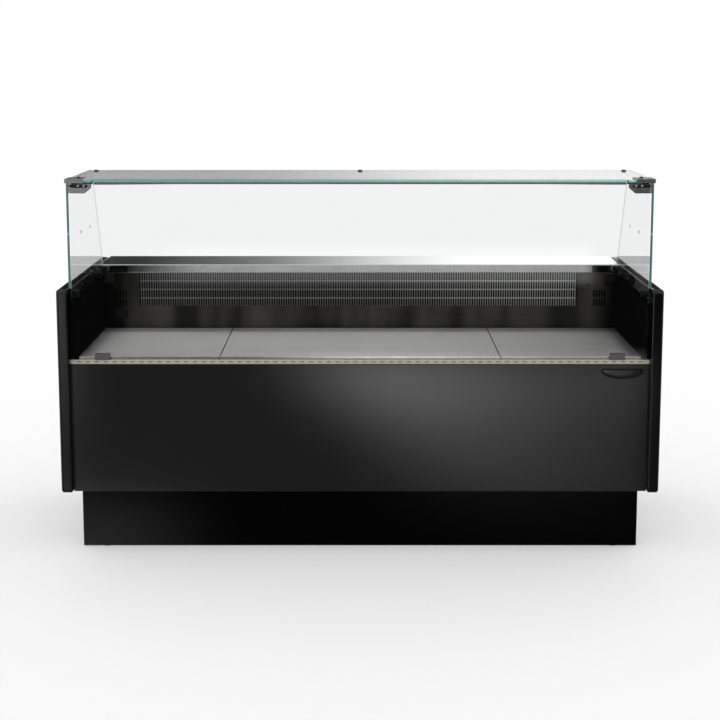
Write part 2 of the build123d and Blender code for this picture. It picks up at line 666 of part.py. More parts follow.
def rear_grille():
    """Duct panel behind the deck, with rows of upright slots and a small group at each side."""
    bottom_z = DECK_Z - GRILLE_BELOW_DECK
    sheet = rectangle_at(2 * X_WALL, WORKTOP_UNDER_Z - bottom_z, 0, (WORKTOP_UNDER_Z + bottom_z) / 2)
    columns = int(2 * (X_WALL - SLOT_FIELD_MARGIN) // SLOT_PITCH)
    top_row_z = WORKTOP_Z - SLOT_FIELD_DROP - SLOT_HEIGHT / 2
    field_z = top_row_z - (SLOT_ROWS - 1) * SLOT_ROW_PITCH / 2
    field = GridLocations(SLOT_PITCH, SLOT_ROW_PITCH, columns, SLOT_ROWS)
    places = [Pos(SLOT_FIELD_SHIFT, field_z) * place for place in field]
    low_z = field_z - (SLOT_ROWS - SIDE_GROUP_ROWS) * SLOT_ROW_PITCH / 2
    holes = []
    for side in (-1, 1):
        cluster = GridLocations(SIDE_GROUP_PITCH, SLOT_ROW_PITCH, SIDE_GROUP_SLOTS, SIDE_GROUP_ROWS)
        places += [Pos(side * (X_WALL - SIDE_GROUP_INSET), low_z) * place for place in cluster]
        hole = Pos(side * (X_WALL - WALL_HOLE_INSET), WORKTOP_Z - WALL_HOLE_DROP)
        holes.append(hole * Circle(WALL_HOLE_RADIUS))
    slots = [place * Rectangle(SLOT_WIDTH, SLOT_HEIGHT) for place in places]
    panel = plate_xz(sheet - slots - holes, Y_GRILLE, Y_GRILLE + SHEET)
    return panel - lip_knob_holes(Y_GRILLE, Y_GRILLE + SHEET)


def wall_covers():
    """Black brackets in the rear corners, sloped below, and the cover of the temperature probe."""
    outer = X_WALL - CORNER_BRACKET_INSET
    top = WORKTOP_Z - WORKTOP_LIP - CORNER_BRACKET_GAP
    bracket = block(
        (outer - CORNER_BRACKET_WIDTH, outer), (Y_GRILLE - CORNER_BRACKET_DEPTH, Y_GRILLE),
        (top - CORNER_BRACKET_HEIGHT, top),
    )
    front_bottom = bracket.edges().filter_by(Axis.X).group_by(Axis.Y)[0].sort_by(Axis.Z)[0]
    bracket = chamfer(front_bottom, CORNER_BRACKET_CHAMFER)
    probe_x = PROBE_INSET - X_WALL
    cover = block(
        (probe_x - PROBE_WIDTH / 2, probe_x + PROBE_WIDTH / 2), (Y_GRILLE - PROBE_DEPTH, Y_GRILLE),
        (PROBE_Z - PROBE_HEIGHT / 2, PROBE_Z + PROBE_HEIGHT / 2),
    )
    cover = fillet(cover.faces().sort_by(Axis.Y)[0].edges(), PROBE_RADIUS)
    return group(bracket, mirrored(bracket), cover)


# Deck
def deck_tray(index):
    """Lift-out tray, one or two modules wide, turned down along its front and rear edges."""
    module = (2 * X_WALL - TRAY_GAP) / sum(TRAY_MODULES)
    left = -X_WALL + TRAY_GAP + sum(TRAY_MODULES[:index]) * module
    width = TRAY_MODULES[index] * module - TRAY_GAP
    rim_z = DECK_Z - TRAY_RIM
    path = [(Y_TRAY_FRONT, rim_z), (Y_TRAY_FRONT, DECK_Z), (Y_TRAY_BACK, DECK_Z), (Y_TRAY_BACK, rim_z)]
    return folded_along_x(path, Side.RIGHT, left, left + width)


def deck_bearers():
    """Three inverted channels from wall to wall under the trays; the front one stands on the tank."""
    front = Y_TRAY_FRONT + SHEET + BEARER_INSET
    middle = FAN_PLATE_Y + BEARER_PLATE_GAP
    back = Y_TRAY_BACK - SHEET - BEARER_INSET - BEARER_WIDTH
    deep_z = TRAY_UNDER_Z - BEARER_DEPTH
    bearers = []
    for start, bottom in ((front, FRONT_TOP_Z), (middle, deep_z), (back, deep_z)):
        end = start + BEARER_WIDTH
        path = [(start, bottom), (start, TRAY_UNDER_Z), (end, TRAY_UNDER_Z), (end, bottom)]
        bearers.append(folded_along_x(path, Side.RIGHT, -X_WALL, X_WALL))
    return group(*bearers)


# Glass
def top_glass():
    pane = Pos(0, Y_FRONT + TOP_GLASS_DEPTH / 2) * RectangleRounded(
        2 * X_TOP_GLASS, TOP_GLASS_DEPTH, TOP_GLASS_CORNER)
    hole = Circle(CAP_STEM_RADIUS + CAP_STEM_CLEARANCE)
    pane -= [Pos(x, Y_FRONT + CAP_DEPTH) * hole for x in (-X_CAP, X_CAP)]
    return Pos(0, 0, TOP_GLASS_UNDER_Z) * extrude(pane, TOP_GLASS)


def side_glass():
    """Right side glass with a sloping rear edge, drilled for a shelf and for two clamp knobs."""
    front = Y_FRONT + SIDE_GLASS_FRONT_GAP
    rear = Y_GRILLE + SIDE_GLASS_PAST_GRILLE
    top_z = TOP_GLASS_UNDER_Z - SIDE_GLASS_TOP_GAP
    outline = [
        (front, SIDE_WALL_TOP_Z), (rear, SIDE_WALL_TOP_Z), (rear, WORKTOP_Z),
        (Y_FRONT + TOP_GLASS_DEPTH + SIDE_GLASS_TOP_PROUD, top_z), (front, top_z),
    ]
    pane = outline_face(outline)
    pane = fillet(pane.vertices(), SIDE_GLASS_CORNER)
    pane -= [Pos(Y_FRONT + depth, SHELF_HOLE_Z) * Circle(SHELF_HOLE_RADIUS) for depth in SHELF_HOLE_DEPTHS]
    knob_hole = Circle(KNOB_STEM_RADIUS + KNOB_STEM_CLEARANCE)
    pane -= [Pos(y, KNOB_Z) * knob_hole for y in KNOB_YS]
    return along_x(pane, X_SIDE_GLASS, X_SIDE_GLASS + SIDE_GLASS)


def front_glass():
    """Front glass, notched at its top corners for the hinge knuckles."""
    notch_x = X_KNUCKLE_INNER - NOTCH_GAP
    notch_z = ARM_BOTTOM_Z - NOTCH_BELOW
    right = [
        (X_FRONT_GLASS, FRONT_GLASS_BOTTOM_Z), (X_FRONT_GLASS, notch_z),
        (notch_x, notch_z), (notch_x, FRONT_GLASS_TOP_Z),
    ]
    left = [(-x, z) for x, z in right[::-1]]
    return plate_xz(outline_face(right + left), Y_FRONT_GLASS, Y_FRONT_GLASS_BACK)


def hinge_arms():
    """Moving half of each hinge: a knuckle and two tapered plates that clamp the front glass."""
    outline = [
        (X_KNUCKLE, ARM_BOTTOM_Z), (X_KNUCKLE, FRONT_GLASS_TOP_Z), (X_ARM_END, FRONT_GLASS_TOP_Z),
        (X_ARM_END, FRONT_GLASS_TOP_Z - ARM_TIP_HEIGHT), (X_ARM_END + ARM_TAPER, ARM_BOTTOM_Z),
    ]
    arm = plate_xz(outline_face(outline), Y_FRONT_GLASS - ARM_PLATE, Y_FRONT_GLASS_BACK + ARM_PLATE)
    arm -= block((X_ARM_END, X_KNUCKLE_INNER), (Y_FRONT_GLASS, Y_FRONT_GLASS_BACK),
                 (ARM_BOTTOM_Z, FRONT_GLASS_TOP_Z))
    arm -= rod(PIN_RADIUS + PIN_CLEARANCE, (X_KNUCKLE_INNER, HINGE_Y, HINGE_Z), (X_KNUCKLE, HINGE_Y, HINGE_Z))
    return pair(arm)


def hinge_brackets():
    """Fixed half of each hinge: a cheek inside the side glass and a clasp round the top glass corner."""
    inner = X_TOP_GLASS - BRACKET_LENGTH
    front = Y_FRONT - BRACKET_PLATE
    back = front + BRACKET_DEPTH
    lip_z = TOP_GLASS_UNDER_Z - BRACKET_LIP_BELOW
    top_z = TOP_GLASS_Z + BRACKET_PLATE
    clasp = along_x(
        outline_face([
            (front, lip_z), (front, top_z), (back, top_z), (back, TOP_GLASS_Z),
            (Y_FRONT, TOP_GLASS_Z), (Y_FRONT, lip_z),
        ]),
        inner, X_TOP_GLASS,
    )
    cheek_x = (X_SIDE_GLASS - BRACKET_PLATE, X_SIDE_GLASS)
    cheek = block(cheek_x, (front, back), (ARM_BOTTOM_Z, TOP_GLASS_UNDER_Z))
    under = block((inner, X_SIDE_GLASS), (HINGE_Y + BRACKET_UNDER_SETBACK, back),
                  (TOP_GLASS_UNDER_Z - BRACKET_PLATE, TOP_GLASS_UNDER_Z))
    bracket = clasp + cheek + under
    bracket -= rod(PIN_RADIUS, (cheek_x[0], HINGE_Y, HINGE_Z), (cheek_x[1], HINGE_Y, HINGE_Z))
    cap_y = Y_FRONT + CAP_DEPTH
    bracket -= rod(CAP_STEM_RADIUS, (X_CAP, cap_y, lip_z), (X_CAP, cap_y, top_z))
    return pair(bracket)


def hinge_pins():
    return pair(rod(PIN_RADIUS, (X_KNUCKLE_INNER, HINGE_Y, HINGE_Z), (X_SIDE_GLASS, HINGE_Y, HINGE_Z)))


def glass_caps():
    """Domed bolts through the hinge brackets, and three caps along the rear of the top glass."""
    bolt_y = Y_FRONT + CAP_DEPTH
    seat = TOP_GLASS_Z + BRACKET_PLATE
    bolt = Pos(X_CAP, bolt_y, seat) * bevelled_disc(CAP_RADIUS, CAP_HEIGHT, CAP_HEIGHT / 2)
    bolt += rod(CAP_STEM_RADIUS, (X_CAP, bolt_y, TOP_GLASS_UNDER_Z - BRACKET_PLATE), (X_CAP, bolt_y, seat))
    rear_y = Y_FRONT + TOP_GLASS_DEPTH - REAR_CAP_INSET
    cap = bevelled_disc(REAR_CAP_RADIUS, REAR_CAP_HEIGHT, REAR_CAP_HEIGHT / 2)
    rear_caps = [Pos(x, rear_y, TOP_GLASS_Z) * cap for x in (-X_CAP, 0, X_CAP)]
    return group(bolt, mirrored(bolt), *rear_caps)


def glass_catches():
    """Two clips that straddle the lower edge of the front glass."""
    bottom_z = LEDGE_Z + CATCH_FLOOR_GAP
    top_z = bottom_z + CATCH_HEIGHT
    centre = HALF - CATCH_END_INSET
    spread = (centre - CATCH_LENGTH / 2, centre + CATCH_LENGTH / 2)
    clip = block(spread, (Y_FRONT_GLASS - CATCH_WALL, Y_FRONT_GLASS_BACK + CATCH_WALL), (bottom_z, top_z))
    clip = fillet(clip.edges().filter_by(Axis.Y), CATCH_RADIUS)
    clip -= block(spread, (Y_FRONT_GLASS, Y_FRONT_GLASS_BACK), (FRONT_GLASS_BOTTOM_Z, top_z))
    return pair(clip)


def lobed_knob(stem_length):
    """Knob on a stem: its seat is at the origin and the stem points along +Z."""
    disc = Circle(KNOB_RADIUS)
    disc -= [place * Circle(KNOB_LOBE_RADIUS) for place in PolarLocations(KNOB_RADIUS, KNOB_LOBES)]
    head = Pos(0, 0, -KNOB_LENGTH) * extrude(disc, KNOB_LENGTH)
    return head + rod(KNOB_STEM_RADIUS, (0, 0, 0), (0, 0, stem_length))


def clamp_knobs():
    """Knobs that clamp the side glasses, a fixing button beside them, and one knob at each lip end."""
    side_knob = Rot(0, 90, 0) * lobed_knob(HALF + KNOB_STEM_DEPTH - X_SIDE_GLASS)
    right = [Pos(X_SIDE_GLASS, y, KNOB_Z) * side_knob for y in KNOB_YS]
    button = Rot(0, -90, 0) * bevelled_disc(BUTTON_RADIUS, BUTTON_HEIGHT, BUTTON_HEIGHT / 2)
    right.append(Pos(X_SIDE_GLASS, Y_FRONT + BUTTON_DEPTH, BUTTON_Z) * button)
    lip_knob = Rot(-90, 0, 0) * lobed_knob(WORKTOP_LIP_PROUD + SHEET)
    lips = [Pos(x, Y_LIP, LIP_KNOB_Z) * lip_knob for x in (-X_LIP_KNOB, X_LIP_KNOB)]
    return group(*right, *[mirrored(piece) for piece in right], *lips)


# Light bar
def led_profile():
    """Channel under the front of the top glass, open below."""
    back = Y_LIGHT + LIGHT_WIDTH
    path = [
        (Y_LIGHT, LIGHT_BOTTOM_Z), (Y_LIGHT, TOP_GLASS_UNDER_Z), (back, TOP_GLASS_UNDER_Z), (back, LIGHT_BOTTOM_Z),
    ]
    return folded_along_x(path, Side.RIGHT, -X_LIGHT, X_LIGHT, LIGHT_WALL)


def led_diffuser():
    margin = LIGHT_WALL + DIFFUSER_CLEARANCE
    strip = block(
        (-X_LIGHT, X_LIGHT), (Y_LIGHT + margin, Y_LIGHT + LIGHT_WIDTH - margin),
        (LIGHT_BOTTOM_Z, LIGHT_BOTTOM_Z + DIFFUSER_HEIGHT),
    )
    return fillet(strip.edges().filter_by(Axis.X).group_by(Axis.Z)[0], DIFFUSER_RADIUS)


# Rear of the case
def rear_sheet(x_from, x_to):
    """A rear panel with flanges turned in at top and bottom, notched round the posts."""
    inner = Y_REAR_FACE - PANEL_FLANGE
    path = [
        (inner, FRONT_BOTTOM_Z), (Y_REAR_FACE, FRONT_BOTTOM_Z), (Y_REAR_FACE, PANEL_TOP_Z), (inner, PANEL_TOP_Z),
    ]
    sheet = folded_along_x(path, Side.LEFT, x_from, x_to)
    for x in CROSS_XS:
        post_x = (x - RAIL / 2 - JOINT_GAP, x + RAIL / 2 + JOINT_GAP)
        sheet -= block(post_x, (Y_REAR - RAIL, Y_REAR), (FRONT_BOTTOM_Z, PANEL_TOP_Z))
    return sheet


def rear_panels():
    """Plain rear panels left and right of the louvred one; the left one takes the cable gland."""
    right = rear_sheet(UNIT_BAY_HALF + PANEL_SEAM / 2, X_FACE)
    left = mirrored(right) - rod(GLAND_RADIUS, (GLAND_X, Y_REAR, GLAND_Z), (GLAND_X, Y_REAR_FACE, GLAND_Z))
    return group(right, left)


def rear_louvre_panel():
    """Service panel with air slots in front of the condenser."""
    half = UNIT_BAY_HALF - PANEL_SEAM / 2
    places = GridLocations(LOUVRE_COLUMN_PITCH, LOUVRE_ROW_PITCH, LOUVRE_COLUMNS, LOUVRE_ROWS)
    slots = Sketch() + [place * Rectangle(LOUVRE_LENGTH, LOUVRE_HEIGHT) for place in places]
    return rear_sheet(-half, half) - plate_xz(Pos(0, LOUVRE_Z) * slots, Y_REAR, Y_REAR_FACE)


def control_fascia():
    """Strip under the worktop's rear lip, cut for the controller and the two switches."""
    strip = rectangle_at(2 * X_FACE, FASCIA_HEIGHT, 0, CONTROL_Z)
    grow = 2 * CUTOUT_CLEARANCE
    strip -= rectangle_at(CONTROLLER_BODY_WIDTH + grow, CONTROLLER_BODY_HEIGHT + grow, CONTROL_X, CONTROL_Z)
    strip -= [
        rectangle_at(SWITCH_BODY_WIDTH + grow, SWITCH_BODY_HEIGHT + grow, x, CONTROL_Z) for x in SWITCH_XS
    ]
    return plate_xz(strip, Y_REAR, Y_REAR_FACE)


def controller_body():
    """Controller: a rounded bezel outside the fascia and a housing behind it."""
    front = Y_REAR_FACE + CONTROLLER_BEZEL
    bezel = plate_xz(rectangle_at(CONTROLLER_WIDTH, CONTROLLER_HEIGHT, CONTROL_X, CONTROL_Z), Y_REAR_FACE, front)
    bezel = fillet(bezel.edges().filter_by(Axis.Y), CONTROLLER_RADIUS)
    housing = rectangle_at(CONTROLLER_BODY_WIDTH, CONTROLLER_BODY_HEIGHT, CONTROL_X, CONTROL_Z)
    body = bezel + plate_xz(housing, Y_REAR_FACE - CONTROLLER_BODY_DEPTH, Y_REAR_FACE)
    window = rectangle_at(WINDOW_WIDTH, WINDOW_HEIGHT, CONTROL_X + WINDOW_OFFSET, CONTROL_Z)
    body -= plate_xz(window, front - WINDOW_DEPTH, front)
    grow = 2 * KEY_CLEARANCE
    for z in KEY_ZS:
        pocket = rectangle_at(KEY_WIDTH + grow, KEY_HEIGHT + grow, CONTROL_X - KEY_OFFSET, z)
        body -= plate_xz(pocket, front - KEY_POCKET, front)
    return body


def controller_window():
    front = Y_REAR_FACE + CONTROLLER_BEZEL
    shrink = 2 * WINDOW_CLEARANCE
    face = rectangle_at(WINDOW_WIDTH - shrink, WINDOW_HEIGHT - shrink, CONTROL_X + WINDOW_OFFSET, CONTROL_Z)
    return plate_xz(face, front - WINDOW_DEPTH, front)


def controller_key(z):
    tip = Y_REAR_FACE + CONTROLLER_BEZEL + KEY_PROUD
    key = plate_xz(rectangle_at(KEY_WIDTH, KEY_HEIGHT, CONTROL_X - KEY_OFFSET, z), tip - KEY_LENGTH, tip)
    return fillet(key.faces().sort_by(Axis.Y)[-1].edges(), KEY_RADIUS)


def switch_body(x):
    """Switch housing with a pocket and pin holes for its rocker."""
    front = Y_REAR_FACE + SWITCH_BEZEL
    bezel = plate_xz(rectangle_at(SWITCH_WIDTH, SWITCH_HEIGHT, x, CONTROL_Z), Y_REAR_FACE, front)
    bezel = fillet(bezel.edges().filter_by(Axis.Y), SWITCH_RADIUS)
    housing = rectangle_at(SWITCH_BODY_WIDTH, SWITCH_BODY_HEIGHT, x, CONTROL_Z)
    body = bezel + plate_xz(housing, Y_REAR_FACE - SWITCH_BODY_DEPTH, Y_REAR_FACE)
    pocket = rectangle_at(ROCKER_WIDTH + 2 * ROCKER_CLEARANCE, 2 * (ROCKER_HALF + ROCKER_ROOM), x, CONTROL_Z)
    body -= plate_xz(pocket, Y_ROCKER - ROCKER_BACK - ROCKER_ROOM, front)
    reach = ROCKER_WIDTH / 2 + ROCKER_PIN_LENGTH + ROCKER_CLEARANCE
    hole = ROCKER_PIN_RADIUS + ROCKER_PIN_CLEARANCE
    return body - rod(hole, (x - reach, Y_ROCKER, CONTROL_Z), (x + reach, Y_ROCKER, CONTROL_Z))


def rocker(x):
    """Rocker with a dished face on two pins, tilted to its off position."""
    outline = [
        (-ROCKER_BACK, -ROCKER_HALF), (ROCKER_FRONT, -ROCKER_HALF), (ROCKER_FRONT - ROCKER_DIP, 0),
        (ROCKER_FRONT, ROCKER_HALF), (-ROCKER_BACK, ROCKER_HALF),
    ]
    body = along_x(outline_face(outline), -ROCKER_WIDTH / 2, ROCKER_WIDTH / 2)
    reach = ROCKER_WIDTH / 2 + ROCKER_PIN_LENGTH
    body += rod(ROCKER_PIN_RADIUS, (-reach, 0, 0), (reach, 0, 0))
    return Pos(x, Y_ROCKER, CONTROL_Z) * Rot(ROCKER_TILT, 0, 0) * body


def panel_screws():
    """Hexagon screws at the corners of the three rear panels and at the ends of the fascia."""
    heights = (FRONT_BOTTOM_Z + SCREW_INSET, PANEL_TOP_Z - SCREW_INSET)
    columns = (UNIT_BAY_HALF + SCREW_INSET, UNIT_BAY_HALF - SCREW_INSET, HALF - SCREW_INSET)
    places = [(side * x, z) for side in (-1, 1) for x in columns for z in heights]
    places += [(side * (HALF - SCREW_INSET), CONTROL_Z) for side in (-1, 1)]
    head = Rot(-90, 0, 0) * extrude(RegularPolygon(SCREW_RADIUS, SCREW_SIDES), SCREW_HEIGHT)
    return group(*[Pos(x, Y_REAR_FACE, z) * head for x, z in places])


def cable_gland():
    """Empty inlet gland: a hexagon nut, a domed cap and an inner sleeve, bored through."""
    nut = extrude(RegularPolygon(GLAND_NUT_RADIUS, GLAND_NUT_SIDES), GLAND_NUT_LENGTH)
    dome = Pos(0, 0, GLAND_NUT_LENGTH) * bevelled_disc(GLAND_RADIUS, GLAND_DOME_LENGTH, GLAND_CROWN)
    ends = (-GLAND_INNER_LENGTH, GLAND_NUT_LENGTH + GLAND_DOME_LENGTH)
    gland = nut + dome + rod(GLAND_RADIUS, (0, 0, ends[0]), (0, 0, 0))
    gland -= rod(GLAND_BORE_RADIUS, (0, 0, ends[0]), (0, 0, ends[1]))
    return Pos(GLAND_X, Y_REAR_FACE, GLAND_Z) * Rot(-90, 0, 0) * gland


# Fans, about Z: the motor stands above the rotor and its spider's feet end at Z = 0
def fan_rotor(tip_radius, hub_radius):
    """Axial rotor: a hub with twisted blades, bored for the motor shaft."""
    sections = []
    for radius, chord, pitch in (
        (hub_radius - FAN_HUB_SINK, FAN_CHORD_ROOT, FAN_PITCH_ROOT),
        (tip_radius, FAN_CHORD_TIP, FAN_PITCH_TIP),
    ):
        plane = Plane(origin=(radius, 0, 0), x_dir=(0, 1, 0), z_dir=(1, 0, 0))
        sections.append(plane * Rot(0, 0, pitch) * Rectangle(chord, FAN_BLADE))
    blade = loft(sections)
    rotor = Part() + Cylinder(hub_radius, FAN_HUB_LENGTH)
    rotor += [place * blade for place in PolarLocations(0, FAN_BLADES)]
    return rotor - Cylinder(FAN_SHAFT_RADIUS + FAN_SHAFT_CLEARANCE, FAN_HUB_LENGTH)


def fan_motor(tip_radius):
    """Motor with its shaft, held by a spider over the fan's opening."""
    start = FAN_HUB_LENGTH / 2 + MOTOR_GAP
    body = Pos(0, 0, start) * bevelled_disc(MOTOR_RADIUS, MOTOR_LENGTH, MOTOR_EDGE)
    shaft = rod(FAN_SHAFT_RADIUS, (0, 0, start - FAN_SHAFT_LENGTH), (0, 0, start))
    reach = tip_radius + FAN_TIP_GAP + SPIDER_OVERLAP
    width = (-SPIDER_WIDTH / 2, SPIDER_WIDTH / 2)
    arm = block((0, reach), width, (start, start + SPIDER_THICKNESS))
    arm += block((reach - SPIDER_THICKNESS, reach), width, (0, start + SPIDER_THICKNESS))
    return Part() + body + shaft + [place * arm for place in PolarLocations(0, SPIDER_ARMS)]


def evaporator_fan(side):
    rotor = Rot(-90, 0, 0) * fan_rotor(FAN_TIP_RADIUS, FAN_HUB_RADIUS)
    return Pos(side * FAN_X, FAN_PLATE_Y, FAN_Z) * rotor


def condenser_fan():
    rotor = Rot(90, 0, 0) * fan_rotor(CONDENSER_FAN_TIP_RADIUS, CONDENSER_FAN_HUB_RADIUS)
    return Pos(0, Y_SHROUD_FRONT, CONDENSER_Z) * rotor


def fan_motors():
    """The two evaporator fan motors and the condenser fan motor."""
    small = Rot(-90, 0, 0) * fan_motor(FAN_TIP_RADIUS)
    large = Rot(90, 0, 0) * fan_motor(CONDENSER_FAN_TIP_RADIUS)
    motors = [Pos(side * FAN_X, FAN_PLATE_Y, FAN_Z) * small for side in (-1, 1)]
    return group(*motors, Pos(0, Y_SHROUD_FRONT, CONDENSER_Z) * large)


def fan_plate():
    """Upright baffle under the deck with an opening for each evaporator fan."""
    top = TRAY_UNDER_Z - JOINT_GAP
    sheet = rectangle_at(2 * X_WALL, top - TANK_FLOOR_Z, 0, (top + TANK_FLOOR_Z) / 2)
    sheet -= [Pos(side * FAN_X, FAN_Z) * Circle(FAN_TIP_RADIUS + FAN_TIP_GAP) for side in (-1, 1)]
    return plate_xz(sheet, FAN_PLATE_Y - SHEET, FAN_PLATE_Y)


# Evaporator and condensing unit
def finned_coil(half, depth, height, fins, proud):
    """Fin pack along X about the origin: a core with upright fins standing proud of it."""
    core = Box(2 * half, depth - 2 * proud, height - 2 * proud)
    pitch = 2 * half / fins
    first = pitch / 2 - half
    return Part() + core + [Pos(first + index * pitch, 0, 0) * Box(COIL_FIN, depth, height) for index in range(fins)]


def evaporator_coil():
    """Fin pack on two end plates that stand on the tank floor, with return bends at the left."""
    pack = Pos(0, COIL_Y, COIL_Z) * finned_coil(COIL_HALF, COIL_DEPTH, COIL_HEIGHT, COIL_FINS, COIL_FIN_PROUD)
    depths = (COIL_Y - COIL_DEPTH / 2, COIL_Y + COIL_DEPTH / 2)
    plate = block((COIL_HALF, X_COIL_FACE), depths, (TANK_FLOOR_Z, COIL_Z + COIL_HEIGHT / 2))
    reach = COIL_BEND_RADIUS + COIL_TUBE_RADIUS
    left_half = block((-X_COIL_FACE - reach, -X_COIL_FACE), depths, (COIL_Z - reach, COIL_Z + reach))
    ring = Rot(90, 0, 0) * Torus(COIL_BEND_RADIUS, COIL_TUBE_RADIUS)
    first_y = COIL_Y - (COIL_BENDS - 1) * COIL_BEND_PITCH / 2
    bends = [
        Pos(-X_COIL_FACE, first_y + index * COIL_BEND_PITCH, COIL_Z) * ring & left_half
        for index in range(COIL_BENDS)
    ]
    return Part() + pack + [plate, mirrored(plate)] + bends


def unit_base():
    """Pressed base tray of the condensing unit with a turned-up rim."""
    half = UNIT_BAY_HALF + UNIT_BASE_OVERLAP
    back = Y_REAR - RAIL - JOINT_GAP
    depths = (back - UNIT_BASE_DEPTH, back)
    rim_z = CROSS_TOP_Z + UNIT_BASE_RIM
    tray = block((-half, half), depths, (CROSS_TOP_Z, rim_z))
    hollow = block((SHEET - half, half - SHEET), (depths[0] + SHEET, depths[1] - SHEET), (UNIT_FLOOR_Z, rim_z))
    return tray - hollow


def compressor():
    """Hermetic compressor: a domed shell on a foot plate, with a terminal box at its left."""
    bottom = UNIT_FLOOR_Z + COMPRESSOR_FOOT
    middle = bottom + COMPRESSOR_HEIGHT / 2
    shell = Pos(COMPRESSOR_X, COMPRESSOR_Y, middle) * Cylinder(COMPRESSOR_RADIUS, COMPRESSOR_HEIGHT)
    shell = chamfer(shell.edges().filter_by(GeomType.CIRCLE), COMPRESSOR_DOME)
    foot = Pos(COMPRESSOR_X, COMPRESSOR_Y, UNIT_FLOOR_Z + COMPRESSOR_FOOT / 2) * Box(
        COMPRESSOR_FOOT_LENGTH, COMPRESSOR_FOOT_WIDTH, COMPRESSOR_FOOT)
    terminal = Pos(COMPRESSOR_X - COMPRESSOR_RADIUS, COMPRESSOR_Y, middle) * Box(
        TERMINAL_BOX_DEPTH, TERMINAL_BOX, TERMINAL_BOX)
    return shell + foot + terminal


def condenser_coil():
    coil = finned_coil(CONDENSER_HALF, CONDENSER_DEPTH, CONDENSER_HEIGHT, CONDENSER_FINS, CONDENSER_FIN_PROUD)
    return Pos(0, Y_CONDENSER, CONDENSER_Z) * coil


def condenser_shroud():
    """Sheet box between fan and condenser, open at the back, with a round opening for the fan."""
    heights = (UNIT_FLOOR_Z, UNIT_FLOOR_Z + CONDENSER_HEIGHT)
    box = block((-CONDENSER_HALF, CONDENSER_HALF), (Y_SHROUD_FRONT, Y_SHROUD_BACK), heights)
    box -= block((SHEET - CONDENSER_HALF, CONDENSER_HALF - SHEET), (Y_SHROUD_FRONT + SHEET, Y_SHROUD_BACK),
                 (heights[0] + SHEET, heights[1] - SHEET))
    inlet = CONDENSER_FAN_TIP_RADIUS + FAN_TIP_GAP
    return box - rod(inlet, (0, Y_SHROUD_FRONT, CONDENSER_Z), (0, Y_SHROUD_FRONT + SHEET, CONDENSER_Z))


def bent_pipe(points):
    path = FilletPolyline(*points, radius=PIPE_BEND)
    return sweep(Plane(origin=path @ 0, z_dir=path % 0) * Circle(PIPE_RADIUS), path)


def refrigerant_pipes():
    """Suction line from evaporator to compressor, and liquid line from condenser through the drier."""
    high = TANK_FLOOR_Z + SUCTION_ABOVE_FLOOR
    low = TANK_FLOOR_Z + LIQUID_ABOVE_FLOOR
    shell_z = UNIT_FLOOR_Z + SUCTION_ABOVE_BASE
    liquid_z = UNIT_FLOOR_Z + LIQUID_ABOVE_BASE
    drier_end = DRIER_X + DRIER_LENGTH
    suction = bent_pipe([
        (X_COIL_FACE, COIL_Y, high), (SUCTION_X, COIL_Y, high), (SUCTION_X, COIL_Y, PIPE_RUN_Z),
        (SUCTION_X, COMPRESSOR_Y, PIPE_RUN_Z), (SUCTION_X, COMPRESSOR_Y, shell_z),
        (COMPRESSOR_X + COMPRESSOR_RADIUS, COMPRESSOR_Y, shell_z),
    ])
    liquid = bent_pipe([
        (drier_end, Y_CONDENSER, liquid_z), (LIQUID_X, Y_CONDENSER, liquid_z),
        (LIQUID_X, Y_CONDENSER, PIPE_RUN_Z), (LIQUID_X, COIL_Y, PIPE_RUN_Z),
        (LIQUID_X, COIL_Y, low), (X_COIL_FACE, COIL_Y, low),
    ])
    feed = rod(PIPE_RADIUS, (CONDENSER_HALF, Y_CONDENSER, liquid_z), (DRIER_X, Y_CONDENSER, liquid_z))
    drier = rod(DRIER_RADIUS, (DRIER_X, Y_CONDENSER, liquid_z), (drier_end, Y_CONDENSER, liquid_z))
    return group(suction, feed + drier + liquid)


def electrical_box():
    box = block((BOX_X - BOX_WIDTH / 2, BOX_X + BOX_WIDTH / 2), (Y_TANK_BACK, Y_TANK_BACK + BOX_DEPTH),
                (BOX_Z - BOX_HEIGHT / 2, BOX_Z + BOX_HEIGHT / 2))
    return fillet(box.edges().filter_by(Axis.Y), BOX_RADIUS)


def condensate_drain():
    """Drain pipe through the tank floor, and the tray on the chassis that it drips into."""
    tray_z = (CROSS_BOTTOM_Z, CROSS_BOTTOM_Z + DRAIN_TRAY_HEIGHT)
    end = (DRAIN_X, DRAIN_Y, tray_z[1] - DRAIN_DROP)
    floor = (DRAIN_X, DRAIN_Y, TANK_FLOOR_Z)
    mouth = (DRAIN_X, DRAIN_Y, TANK_FLOOR_Z + DRAIN_FLANGE)
    pipe = rod(DRAIN_RADIUS, end, floor) + rod(DRAIN_FLANGE_RADIUS, floor, mouth) - rod(DRAIN_BORE, end, mouth)
    tray_x = (DRAIN_X - DRAIN_TRAY_LENGTH / 2, DRAIN_X + DRAIN_TRAY_LENGTH / 2)
    tray_y = (Y_CHASSIS_FRONT, Y_CHASSIS_FRONT + DRAIN_TRAY_DEPTH)
    wall = DRAIN_TRAY_WALL
    tray = block(tray_x, tray_y, tray_z)
    tray -= block((tray_x[0] + wall, tray_x[1] - wall), (tray_y[0] + wall, tray_y[1] - wall),
                  (tray_z[0] + wall, tray_z[1]))
    return group(pipe, tray)


